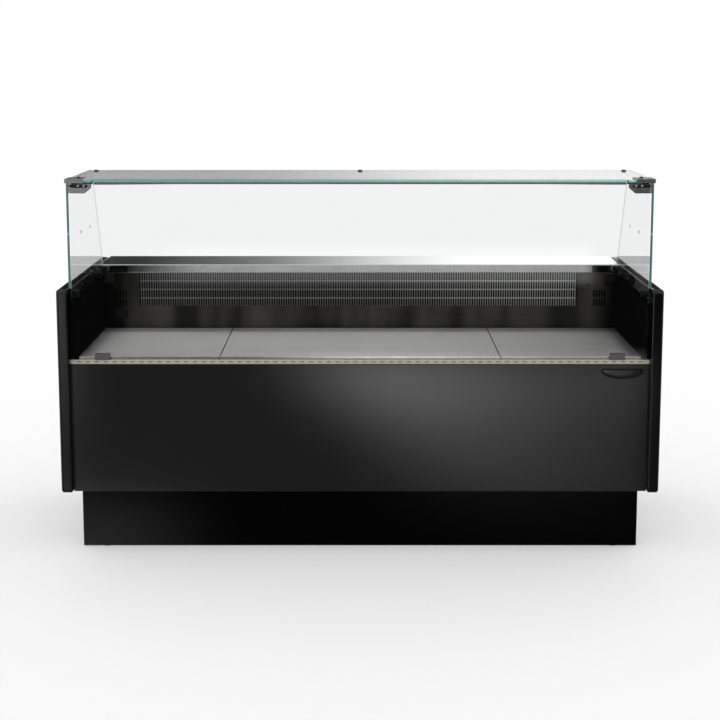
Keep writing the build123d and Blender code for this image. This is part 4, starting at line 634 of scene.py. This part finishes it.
def tempered(material, factor):
    """Scales a finish's colour by a value that changes over the surface."""
    tree = material.node_tree
    socket = tree.nodes["Principled BSDF"].inputs["Base Color"]
    scaled = place(tree, "ShaderNodeVectorMath", {"operation": "SCALE"},
                   {0: socket.links[0].from_socket, "Scale": factor})
    tree.links.new(scaled.outputs[0], socket)


def painted_shade_towards(material, axis, start, end, share):
    """Paints shade into a finish towards one side: its colour falls to a share of itself from start to end on
    an axis.
    """
    tree = material.node_tree
    tempered(material, eased(tree, coordinate(tree, axis), start, end, 1.0, share))


def painted_reflection_streaks(material):
    """Painted reflection: soft upright light and dark streaks in a finish's shade, from noise drawn out along
    Z.
    """
    tree = material.node_tree
    reflection_streaks = noise(tree, stretched(tree, REFLECTION_STREAK_SCALE), scale=1.0, detail=2.0)
    tempered(material, eased(tree, reflection_streaks, *REFLECTION_STREAK_SPAN, *REFLECTION_STREAK_SHADES))


def coated(name, base, roughness, peel, scale=900.0, level=0.5):
    """Powder coat or moulded plastic: orange peel, with a slow drift of shade and gloss."""
    material, tree, shader = blank(name, {"Specular IOR Level": level})
    coat = shared(tree, "Coat texture", coat_group, {"Peel scale": scale})
    tint(tree, shader, coat["Drift"], base, dark=0.88, light=1.12)
    gloss(tree, shader, coat["Drift"], start=roughness * 0.85, end=roughness * 1.15)
    relief(tree, shader, coat["Peel"], peel)
    return material


def polished(name, base, roughness):
    """Turned or plated metal: a slow drift of gloss and faint handling marks."""
    material, tree, shader = blank(name, {"Metallic": 1.0})
    coat = shared(tree, "Coat texture", coat_group, {"Peel scale": 60.0, "Drift scale": 25.0})
    tint(tree, shader, coat["Drift"], base, dark=0.86, light=1.08)
    gloss(tree, shader, coat["Peel"], start=roughness * 0.7, end=roughness * 1.4)
    return material


def galvanised(base):
    """Zinc with its spangle: cells of slightly different shade and gloss."""
    material, tree, shader = blank("Galvanised sheet", {"Metallic": 1.0})
    cells = place(tree, "ShaderNodeTexVoronoi", None, {"Vector": where(tree), "Scale": 70.0})
    shade = place(tree, "ShaderNodeSeparateColor", None, {0: cells.outputs["Color"]}).outputs[0]
    tint(tree, shader, shade, base, dark=0.78, light=1.1)
    gloss(tree, shader, shade, start=0.34, end=0.52)
    return material


def foam(base):
    """Sprayed foam: closed cells in the relief and a blotchy shade."""
    material, tree, shader = blank("Insulating foam", {"Roughness": 0.9})
    cells = place(tree, "ShaderNodeTexVoronoi", None, {"Vector": where(tree), "Scale": 350.0})
    tint(tree, shader, cells.outputs["Distance"], base, dark=0.8, light=1.1)
    relief(tree, shader, cells.outputs["Distance"], depth=0.001)
    return material


def finned(base):
    """Thin upright fins: a fine sawtooth along X in shade and relief."""
    material, tree, shader = blank("Coil fins", {"Metallic": 1.0, "Roughness": 0.42})
    shape = {"wave_type": "BANDS", "bands_direction": "X", "wave_profile": "SAW"}
    fins = place(tree, "ShaderNodeTexWave", shape, {"Vector": where(tree), "Scale": 95.0, "Distortion": 0.0})
    tint(tree, shader, fins.outputs["Fac"], base, dark=0.35, light=1.05)
    relief(tree, shader, fins.outputs["Fac"], depth=0.0008)
    return material


def pane_glass(name, clear, cut, axis, seat):
    """Clear pane. Where the surface doesn't face along the pane's own axis it is a cut edge, which is green
    and, above the height of the dark sides it stands between, has a painted glow in place of the light the
    pane gathers."""
    values = {"Transmission Weight": 1.0, "IOR": 1.5, "Emission Strength": 1.0}
    material, tree, shader = blank(name, values)
    normal = place(tree, "ShaderNodeTexCoord").outputs["Normal"]
    facing = place(tree, "ShaderNodeSeparateXYZ", None, {0: normal}).outputs[axis]
    cut_mask = maths(tree, "LESS_THAN", maths(tree, "ABSOLUTE", facing), CUT_FACING)
    tinted = [math.sqrt(channel) for channel in cut]
    tree.links.new(mixed(tree, cut_mask, clear, tinted), shader.inputs["Base Color"])
    # Painted glow on the cut edges above the dark sides
    painted_edge_glow = maths(tree, "MULTIPLY", cut_mask, maths(tree, "GREATER_THAN", coordinate(tree, Z), seat))
    tint(tree, shader, painted_edge_glow, cut, dark=0.0, light=1.0, socket="Emission Color")
    film = shared(tree, "Coat texture", coat_group, {"Peel scale": 9.0})
    haze = maths(tree, "MULTIPLY", film["Drift"], GLASS_HAZE)
    rough = maths(tree, "ADD", haze, maths(tree, "MULTIPLY", cut_mask, CUT_ROUGHNESS))
    tree.links.new(rough, shader.inputs["Roughness"])
    return material


def opal(base, strength):
    """Opal cover of the light bar: brightest along its middle stretch and fading to its ends."""
    values = {"Base Color": (*base, 1.0), "Roughness": 0.45, "Emission Strength": strength}
    material, tree, shader = blank("Opal diffuser", values)
    glow = eased(tree, maths(tree, "ABSOLUTE", coordinate(tree, X)), *LAMP_SPAN)
    tint(tree, shader, glow, LAMP_LIGHT, dark=0.05, light=1.0, socket="Emission Color")
    return material


def profile_with_painted_glow(base, lip, strength):
    """Anodised light bar, whose lower lip below a height has a painted glow in place of the diffuser's light,
    most along its middle.
    """
    material, tree, shader = blank("Light bar", {"Roughness": 0.4, "Emission Strength": strength})
    coat = shared(tree, "Coat texture", coat_group, {"Peel scale": 300.0})
    tint(tree, shader, coat["Drift"], base, dark=0.85, light=1.15)
    spread = eased(tree, maths(tree, "ABSOLUTE", coordinate(tree, X)), *LAMP_SPAN, start=0.1)
    glow = maths(tree, "MULTIPLY", spread, maths(tree, "LESS_THAN", coordinate(tree, Z), lip))
    tint(tree, shader, glow, LAMP_LIGHT, dark=0.0, light=1.0, socket="Emission Color")
    return material


def finish(material, *nodes):
    """Gives CAD nodes a finish."""
    for node in nodes:
        NODES[node].data.materials.clear()
        NODES[node].data.materials.append(material)


class CASE_OT_panels(Operator):
    """Black end panels, plinth and side walls, and the charcoal front panel with its anodised strip"""
    bl_idname = "case.panels"
    bl_label = "Panels"

    def execute(self, context):
        colours = context.scene.case_colours
        finish(coated("Black moulding", colours.black, roughness=0.08, peel=8e-6, level=0.45),
               "end_panel_left", "end_panel_right")
        finish(coated("Black lining", colours.lining, roughness=0.45, peel=6e-5, level=0.0), "side_liners")
        finish(coated("Plinth coat", colours.plinth, roughness=0.10, peel=1.5e-5, scale=1100.0,
                      level=0.12), "plinth_front", "plinth_returns")
        finish(coated("Charcoal coat", colours.charcoal, roughness=0.08, peel=1.2e-5, scale=1600.0),
               "front_panel")
        finish(coated("Anodised strip", colours.strip, roughness=0.35, peel=2e-5, scale=300.0),
               "front_strip")
        # Painted shade: a dark bar behind the strip's slots
        shading = coated("Painted shade bar", colours.lining, roughness=0.3, peel=2e-5)
        self.strip_shade_bar(context.scene.case_front, shading)
        return {"FINISHED"}

    def strip_shade_bar(self, sizes, shading):
        """A thin dark bar behind the slots of the strip: painted shade that makes the slots look dark."""
        low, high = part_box("front_strip")
        wall, depth = sizes.strip_wall, sizes.strip_shade_bar
        half = (high[Z] - low[Z]) / 2 - wall
        profile = np.array([[depth, -half], [depth, half], [0.0, half], [0.0, -half]])
        lens = bar_along_x(profile, [low[X] + wall, high[X] - wall])
        spot = [(0.0, low[Y] + wall, middle("front_strip", Z))]
        mesh_piece("strip_shade_bar", lens, spot, "case", shading)


class CASE_OT_deck(Operator):
    """Brushed deck trays with their seams, bright edges and bearers, and the steel under them"""
    bl_idname = "case.deck"
    bl_label = "Deck"

    def execute(self, context):
        colours = context.scene.case_colours
        sizes = context.scene.case_deck
        trays = [node for node in NODES if node.startswith("deck_tray")]
        steel = brushed_steel("Deck steel", colours.deck, roughness=0.50, groove=1.2e-4)
        # Painted reflection: the deck darkens along its rear edge, in place of the dark duct panel mirrored
        # in it
        rear = edge(MIDDLE_TRAY, HIGH, Y)
        painted_shade_towards(steel, Y, rear - sizes.painted_shade_depth, rear - sizes.painted_shade_depth / 2, DECK_REAR_SHADE)
        # Painted shade: the deck darkens towards its right end
        painted_shade_towards(steel, X, sizes.painted_shade_start, edge(RIGHT_TRAY, HIGH, X), DECK_RIGHT_SHADE)
        finish(steel, *trays, "deck_bearers")
        # Painted shade: nearly black steel in place of the unlit inside of the tank
        finish(brushed_steel("Tank steel in painted shade", colours.tank, roughness=0.40, groove=6e-5),
               "fan_plate", "tank_liner")
        self.seams(sizes, coated("Seal rubber", colours.lining, roughness=0.6, peel=3e-5, scale=500.0))
        self.nosings(sizes, trays, polished("Tray nosing", colours.nosing, roughness=0.10))
        return {"FINISHED"}

    def seams(self, sizes, seal):
        """Seals on the middle tray, along its seams with the other two."""
        low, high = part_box(MIDDLE_TRAY)
        half, rise = sizes.seam / 2, sizes.seal_rise
        ends = [(low[X] + half, 0.0, high[Z]), (high[X] - half, 0.0, high[Z])]
        profile = np.array([[-half, 0.0], [half, 0.0], [half, rise], [-half, rise]])
        points, faces = bar_along_x(profile, [low[Y] + sizes.seam, high[Y] - sizes.seam])
        seam = points[:, [Y, X, Z]], faces[:, ::-1]
        mesh_piece("deck_seams", seam, ends, MIDDLE_TRAY, seal)

    def nosings(self, sizes, trays, bright):
        """A bright edge with a rounded top along the front of each tray."""
        depth, height = sizes.nosing_depth, sizes.nosing_height
        turn = np.linspace(0, np.pi / 2, NOSING_STEPS)
        round_top = np.column_stack([-np.sin(turn) * depth, -depth + np.cos(turn) * depth])
        profile = np.concatenate([round_top, [[-depth, -height], [0.0, -height]]])
        for tray in trays:
            low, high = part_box(tray)
            bar = bar_along_x(profile, [low[X] + sizes.seam, high[X] - sizes.seam])
            spot = [(0.0, low[Y], high[Z] + sizes.seal_rise)]
            mesh_piece(tray + "_nosing", bar, spot, tray, bright)


class CASE_OT_worktop(Operator):
    """Polished worktop"""
    bl_idname = "case.worktop"
    bl_label = "Worktop"

    def execute(self, context):
        base = context.scene.case_colours.worktop
        finish(brushed_steel("Worktop steel", base, roughness=0.075, groove=2e-6, contrast=0.05), "worktop")
        return {"FINISHED"}


class CASE_OT_duct_panel(Operator):
    """Duct panel with its rows of upright slots, two side groups and two round plugs"""
    bl_idname = "case.duct_panel"
    bl_label = "Duct panel"

    def execute(self, context):
        sizes = context.scene.case_duct
        colours = context.scene.case_colours
        low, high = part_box("rear_grille")
        worktop_z = edge("worktop", HIGH, Z)
        field = sizes.field_shift + spaced(sizes.slot_columns, sizes.slot_pitch)
        cluster = spaced(sizes.side_columns, sizes.side_pitch)
        sides = np.concatenate([low[X] + sizes.side_inset + cluster, high[X] - sizes.side_inset + cluster])
        first = worktop_z - sizes.field_drop - sizes.slot_height / 2
        rows = first - np.arange(sizes.slot_rows) * sizes.row_pitch
        x_slots = slot_lines(np.concatenate([field, sides]), sizes.slot_width)
        x_lines = np.concatenate([[low[X]], x_slots, [high[X]]])
        z_lines = np.concatenate([[low[Z]], slot_lines(rows, sizes.slot_height), [high[Z]]])
        x_mid, z_mid = (x_lines[1:] + x_lines[:-1]) / 2, (z_lines[1:] + z_lines[:-1]) / 2
        in_field = inside_any(x_mid, field, sizes.slot_width)
        in_sides = inside_any(x_mid, sides, sizes.slot_width)
        in_rows = inside_any(z_mid, rows, sizes.slot_height)
        in_low_rows = inside_any(z_mid, rows[-sizes.side_rows:], sizes.slot_height)
        hole = np.outer(in_field, in_rows) | np.outer(in_sides, in_low_rows)
        # One sheet in two tones: painted shade on the plain part, painted light on the bars between the slots
        steel = brushed_steel("Duct steel in painted shade", colours.duct, roughness=0.30, groove=5e-5, contrast=0.16)
        # Painted reflection: upright light and dark streaks on the duct sheet
        painted_reflection_streaks(steel)
        # Painted shade: the sheet is darker to the left of the slot field's right end, its right end lighter
        painted_shade_towards(steel, X, field[-1], field[-1] - sizes.side_inset, DUCT_SHADE)
        bars = brushed_steel("Duct bars in painted light", colours.bars, roughness=0.30, groove=5e-5, contrast=0.16)
        # Painted shade: the bars darken from the field's right end to the middle and stay darker to the left
        painted_shade_towards(bars, X, field[-1], 0.0, BARS_SHADE)
        points, faces = perforated_sheet(x_lines, z_lines, hole, low[Y], high[Y])
        panel = mesh_piece("duct_panel", (points, faces), [ORIGIN], "case", steel)
        panel.data.materials.append(bars)
        x_face, z_face = points[faces].mean(axis=1)[:, [X, Z]].T
        top, base = rows[0] + sizes.slot_height / 2, rows[-1] - sizes.slot_height / 2
        in_bars = (x_face > field[0]) & (x_face < field[-1]) & (z_face < top) & (z_face > base)
        panel.data.polygons.foreach_set("material_index", in_bars.astype(np.int32))
        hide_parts("rear_grille")
        spots = mirrored((high[X] - sizes.plug_inset, low[Y], worktop_z - sizes.plug_drop))
        plug = round_plug(sizes.plug_radius, sizes.plug_radius / 3)
        black = coated("Plug plastic", colours.black, roughness=0.4, peel=3e-5)
        mesh_piece("duct_plugs", plug, spots, "case", black, smooth=True)
        return {"FINISHED"}


class CASE_OT_glass(Operator):
    """Clear panes with green cut edges"""
    bl_idname = "case.glass"
    bl_label = "Glass"

    def execute(self, context):
        colours = context.scene.case_colours
        pale = [math.sqrt(channel) for channel in colours.glass_edge]
        shoulder = edge("end_panel_left", HIGH, Z)
        for name, cut, axis, nodes in (
            ("Front pane", pale, Y, ["front_glass"]),
            ("Top pane", colours.glass_edge, Z, ["top_glass"]),
            ("Side pane", colours.glass_edge, X, ["side_glass_left", "side_glass_right"]),
        ):
            finish(pane_glass(name, colours.glass, cut, axis, shoulder), *nodes)
        return {"FINISHED"}


class CASE_OT_fittings(Operator):
    """Hinges, caps, catches, knobs, covers, feet and the light bar"""
    bl_idname = "case.fittings"
    bl_label = "Fittings"

    def execute(self, context):
        colours = context.scene.case_colours
        sizes = context.scene.case_fittings
        finish(polished("Hinge metal", colours.hinge, roughness=0.26),
               "hinge_arms", "hinge_brackets", "hinge_pins")
        feet = [node for node in NODES if node.startswith("foot_")]
        finish(polished("Foot steel", colours.foot, roughness=0.34), *feet)
        black = coated("Black plastic", colours.black, roughness=0.42, peel=5e-5, scale=700.0)
        finish(black, "clamp_knobs", "wall_covers", "glass_caps", "controller_body", "switch_bodies",
               "cable_gland", "evaporator_fan_left", "evaporator_fan_right", "condenser_fan")
        finish(coated("Catch plastic", colours.catch, roughness=0.32, peel=4e-5, scale=500.0),
               "glass_catches")
        finish(opal(colours.opal, strength=3.0), "led_diffuser")
        lip = edge("led_profile", LOW, Z) + sizes.lit_lip
        # Painted glow on the light bar's lower lip
        finish(profile_with_painted_glow(colours.light_bar, lip, strength=0.9), "led_profile")
        self.hinge_trim(sizes, black, polished("Hinge screws", colours.hinge_screw, roughness=0.2))
        self.glass_trim(sizes, black)
        return {"FINISHED"}

    def hinge_trim(self, sizes, black, plated):
        """A black cover on each hinge arm, with two screws."""
        low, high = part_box("hinge_arms")
        half = sizes.cover_height / 2
        points, faces = screw_head(sizes.hinge_screw, sizes.hinge_screw / 2)
        head = points * (1.0, -1.0, 1.0), faces[:, ::-1]
        columns = [high[X] - sizes.first_screw - n * sizes.screw_step for n in range(2)]
        spots = mirrored(*[(x, low[Y] - sizes.cover_rise, high[Z] - half) for x in columns])
        mesh_piece("hinge_screws", head, spots, "front_glass", plated, smooth=True)
        cover = pillow(rounded_outline(sizes.cover_width, half, half, COVER_POWERS), sizes.cover_rise)
        spots = mirrored((high[X] - sizes.cover_width / 2, low[Y], high[Z] - half))
        mesh_piece("hinge_covers", cover, spots, "front_glass", black, smooth=True)

    def glass_trim(self, sizes, black):
        """Dark stops in the front edge of the top glass, and a gasket under it behind each hinge."""
        outer = edge("hinge_arms", HIGH, X)
        length_x, half = sizes.gasket_length, sizes.gasket_height / 2
        stop = round_plug(sizes.stop_radius, sizes.stop_radius / 4)
        spots = mirrored((outer - length_x, edge("top_glass", LOW, Y), middle("top_glass", Z)))
        mesh_piece("glass_stops", stop, spots, "case", black, smooth=True)
        angle = around(GASKET_SPOKES)
        profile = np.column_stack([np.cos(angle) * sizes.gasket_width / 2, np.sin(angle) * half])
        inset = np.array(GASKET_INSETS) * half
        stations = np.concatenate([inset, length_x - inset[::-1]]) - length_x / 2
        bar = bar_along_x(profile, stations, GASKET_ENDS + GASKET_ENDS[::-1])
        back = edge("front_glass", HIGH, Y) + sizes.gasket_gap
        spots = mirrored((outer - length_x / 2, back, edge("top_glass", LOW, Z) - half))
        mesh_piece("hinge_gaskets", bar, spots, "case", black, smooth=True)


class CASE_OT_front_plate(Operator):
    """Plain plate with a flat top, a round underside and a dark rim, at the right top of the front panel"""
    bl_idname = "case.front_plate"
    bl_label = "Front plate"

    def execute(self, context):
        sizes = context.scene.case_front
        colours = context.scene.case_colours
        low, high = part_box("front_panel")
        spot = [(high[X] - sizes.plate_inset, low[Y], high[Z] - sizes.plate_drop)]
        above = sizes.plate_height * PLATE_SHOULDER
        outline = rounded_outline(sizes.plate_width, above, sizes.plate_height - above, PLATE_POWERS)
        glossy = coated("Plate gloss", colours.plate, roughness=0.10, peel=1e-5)
        plate = pillow(outline, sizes.plate_rise)
        mesh_piece("front_plate", plate, spot, "case", glossy, smooth=True)
        dark = coated("Plate rim", colours.rim, roughness=0.25, peel=1e-5, level=0.25)
        rim = rim_about(outline, sizes.plate_rise / 3, sizes.rim_width)
        mesh_piece("front_plate_rim", rim, spot, "case", dark, smooth=True)
        return {"FINISHED"}


class CASE_OT_rear(Operator):
    """Rear panels with pressed louvres and cross-recess screws, fascia and controls"""
    bl_idname = "case.rear"
    bl_label = "Rear"

    def execute(self, context):
        colours = context.scene.case_colours
        sizes = context.scene.case_rear
        steel = brushed_steel("Rear steel", colours.sheet, roughness=0.30, groove=1e-4)
        finish(steel, "rear_panels", "rear_louvre_panel", "control_fascia")
        plated = polished("Screw plating", colours.screw, roughness=0.24)
        head, spots = screw_head(sizes.screw_radius, sizes.screw_rise), self.screw_places(sizes)
        heads = mesh_piece("rear_screws", head, spots, "case", plated, smooth=True)
        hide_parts("panel_screws")
        hood, spots = louvre_hood(sizes), self.louvre_places(sizes)
        hoods = mesh_piece("louvre_hoods", hood, spots, "case", steel, smooth=True)
        sheet = hoods.modifiers.new("Sheet", "SOLIDIFY")
        sheet.thickness = sizes.louvre_sheet
        sheet.offset = -1.0
        finish(coated("Window", colours.window, roughness=0.08, peel=1e-5), "controller_window")
        finish(coated("Key rubber", colours.key, roughness=0.5, peel=3e-5), "key_up", "key_down")
        finish(coated("Rocker plastic", colours.rocker, roughness=0.16, peel=1e-5),
               "light_rocker", "power_rocker")
        self.marks(sizes, coated("White ink", colours.ink, roughness=0.55, peel=1e-5))
        return {"FINISHED"}

    def marks(self, sizes, ink):
        """An arrowhead on each key."""
        points, faces = flat_mark(sizes.mark_size, sizes.mark_size * MARK_HOLE, sizes.mark_rise, spokes=3)
        for node, turn in (("key_up", 1.0), ("key_down", -1.0)):
            spot = [(middle(node, X), edge(node, HIGH, Y), middle(node, Z))]
            mesh_piece(node + "_mark", (points * (turn, 1.0, turn), faces), spot, node, ink)

    def screw_places(self, sizes):
        """Middles of the screw heads: at the seams and ends of the rear panels, and at the fascia's ends."""
        outer = edge("panel_screws", HIGH, X) - sizes.screw_radius
        seam = edge("rear_louvre_panel", HIGH, X)
        low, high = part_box("rear_panels")
        columns = [outer, seam + sizes.screw_from_edge, seam - sizes.screw_from_edge]
        rows = [low[Z] + sizes.screw_from_edge, high[Z] - sizes.screw_from_edge]
        spots = [(x, high[Y], z) for x in columns for z in rows]
        spots.append((outer, edge("control_fascia", HIGH, Y), middle("control_fascia", Z)))
        return mirrored(*spots)

    def louvre_places(self, sizes):
        """Middles of the louvres in their columns and rows."""
        columns = spaced(sizes.louvre_columns, sizes.louvre_step)
        rows = sizes.louvre_middle + spaced(sizes.louvre_rows, sizes.louvre_pitch)
        x_all, z_all = np.meshgrid(columns, rows)
        y_all = np.full_like(x_all, edge("rear_louvre_panel", HIGH, Y))
        return np.stack([x_all, y_all, z_all], axis=-1).reshape(-1, 3)


class CASE_OT_inside(Operator):
    """Chassis, tank, evaporator and condensing unit"""
    bl_idname = "case.inside"
    bl_label = "Inside"

    def execute(self, context):
        colours = context.scene.case_colours
        finish(galvanised(colours.zinc), "chassis_frame", "tank_outer_skin", "unit_base", "condenser_shroud")
        finish(foam(colours.foam), "tank_insulation")
        finish(finned(colours.fins), "evaporator_coil", "condenser_coil")
        finish(coated("Motor paint", colours.motor, roughness=0.3, peel=8e-5, scale=400.0),
               "fan_motors", "compressor")
        finish(polished("Copper", colours.copper, roughness=0.28), "refrigerant_pipes")
        finish(coated("Grey plastic", colours.grey, roughness=0.46, peel=5e-5, scale=600.0),
               "electrical_box", "condensate_drain")
        return {"FINISHED"}


class CASE_OT_stage(Operator):
    """Pale floor, soft studio light and the camera"""
    bl_idname = "case.stage"
    bl_label = "Stage"

    def execute(self, context):
        sizes = context.scene.case_stage
        self.floor(sizes.floor / 2)
        self.world(context.scene)
        lens = bpy.data.cameras.new("Camera")
        lens.lens = sizes.lens
        lens.shift_y = sizes.shift
        lens.clip_end = sizes.clip
        camera = bpy.data.objects.new("Camera", lens)
        camera.location = (0.0, -sizes.distance, sizes.height)
        camera.rotation_euler = (math.pi / 2 - sizes.tilt, 0.0, 0.0)
        context.scene.collection.objects.link(camera)
        context.scene.camera = camera
        context.scene.view_settings.view_transform = "Standard"
        return {"FINISHED"}

    def bounced(self, tree):
        """1 for a ray that a glossy surface has mirrored, else 0."""
        depth = place(tree, "ShaderNodeLightPath").outputs["Glossy Depth"]
        return maths(tree, "MINIMUM", depth, 1.0)

    def floor(self, half):
        """A square floor that mirrors don't see, so that they show the studio's soft light instead."""
        mesh = bpy.data.meshes.new("floor")
        corners = [(-half, -half, 0), (half, -half, 0), (half, half, 0), (-half, half, 0)]
        mesh.from_pydata(corners, [], [(0, 1, 2, 3)])
        floor = bpy.data.objects.new("floor", mesh)
        bpy.context.scene.collection.objects.link(floor)
        material = bpy.data.materials.new("Pale floor")
        material.use_nodes = True
        tree = material.node_tree
        tree.nodes.clear()
        pale = place(tree, "ShaderNodeBsdfDiffuse", None, {"Color": FLOOR_SHADE})
        glow = place(tree, "ShaderNodeEmission", None, {"Color": WHITE, "Strength": FLOOR_GLOW})
        lit = place(tree, "ShaderNodeAddShader", None, {0: pale.outputs[0], 1: glow.outputs[0]})
        unseen = place(tree, "ShaderNodeBsdfTransparent")
        shaders = {0: self.bounced(tree), 1: lit.outputs[0], 2: unseen.outputs[0]}
        surface = place(tree, "ShaderNodeMixShader", None, shaders)
        place(tree, "ShaderNodeOutputMaterial", None, {"Surface": surface.outputs[0]})
        mesh.materials.append(material)

    def world(self, scene):
        """White all round, but mirrored rays see the lights behind the case and in front of it."""
        world = bpy.data.worlds.new("Studio")
        scene.world = world
        world.use_nodes = True
        world.cycles.sampling_method = "NONE"
        tree = world.node_tree
        tree.nodes.clear()
        towards = place(tree, "ShaderNodeTexCoord").outputs["Generated"]
        x, y, z = place(tree, "ShaderNodeSeparateXYZ", None, {0: towards}).outputs
        away = maths(tree, "MAXIMUM", maths(tree, "ABSOLUTE", y), LEAST_AWAY)
        aside = maths(tree, "DIVIDE", x, away)
        rise = maths(tree, "DIVIDE", z, away)
        behind = eased(tree, y, -LEAST_AWAY, LEAST_AWAY)
        studio = between(tree, behind, self.front(tree, aside, rise), self.back(tree, aside, rise))
        strength = between(tree, self.bounced(tree), 1.0, studio)
        light = place(tree, "ShaderNodeBackground", None, {"Color": WHITE, "Strength": strength})
        place(tree, "ShaderNodeOutputWorld", None, {"Surface": light.outputs[0]})

    def back(self, tree, aside, rise):
        """Behind the case: white below, then a gradient that is dark at the left and beyond both ends of the
        case, then grey, then the ceiling."""
        fade = eased(tree, aside, *BACK_FADE)
        lit = chained(tree, "MULTIPLY", fade, fade, eased(tree, rise, *BACK_LIT))
        gradient = maths(tree, "ADD", lit, eased(tree, rise, *BACK_UNLIT))
        ends = eased(tree, maths(tree, "ABSOLUTE", aside), *BEYOND_ASIDE)
        beyond = maths(tree, "MULTIPLY", ends, eased(tree, rise, *BEYOND_RISE))
        light = between(tree, beyond, gradient, BEYOND_LIGHT)
        light = between(tree, eased(tree, rise, *WHITE_TOP), 1.0, light)
        light = between(tree, eased(tree, rise, *GREY_RISE), light, GREY_LIGHT)
        return between(tree, eased(tree, rise, *CEILING_RISE), light, CEILING_LIGHT)

    def front(self, tree, aside, rise):
        """In front of the case: the sum of the lights in the table, and the sky above them."""
        measures = {"aside": aside, "rise": rise, "outwards": maths(tree, "ABSOLUTE", aside)}
        measures["lean"] = chained(tree, "ADD", aside, rise, LEAN_START)
        lights = []
        for ramps in FRONT_LIGHTS.values():
            steps = [eased(tree, measures[measure], *ramp) for measure, *ramp in ramps]
            lights.append(chained(tree, "MULTIPLY", *steps))
        return between(tree, eased(tree, rise, *SKY_RISE), chained(tree, "ADD", *lights), SKY_LIGHT)


class CASE_PT_sidebar(Panel):
    """Lists the operators that dress the case."""
    bl_label = "Display case"
    bl_idname = "CASE_PT_sidebar"
    bl_space_type = "VIEW_3D"
    bl_region_type = "UI"
    bl_category = "Display case"

    def draw(self, context):
        for operator in OPERATORS:
            self.layout.operator(operator.bl_idname)


SETTINGS = {
    "case_duct": DuctPanelSizes,
    "case_rear": RearSizes,
    "case_front": FrontSizes,
    "case_deck": DeckSizes,
    "case_fittings": FittingSizes,
    "case_colours": FinishColours,
    "case_stage": StageSizes,
}
OPERATORS = (
    CASE_OT_stage, CASE_OT_panels, CASE_OT_deck, CASE_OT_worktop, CASE_OT_duct_panel, CASE_OT_glass,
    CASE_OT_fittings, CASE_OT_front_plate, CASE_OT_rear, CASE_OT_inside,
)


def register():
    for group in (*SETTINGS.values(), *OPERATORS, CASE_PT_sidebar):
        bpy.utils.register_class(group)
    for name, group in SETTINGS.items():
        setattr(bpy.types.Scene, name, PointerProperty(type=group))


def unregister():
    for name in SETTINGS:
        delattr(bpy.types.Scene, name)
    for group in (*SETTINGS.values(), *OPERATORS, CASE_PT_sidebar):
        bpy.utils.unregister_class(group)


def main():
    register()
    for operator in OPERATORS:
        getattr(bpy.ops.case, operator.bl_idname.split(".")[1])()


if __name__ == "__main__":
    main()
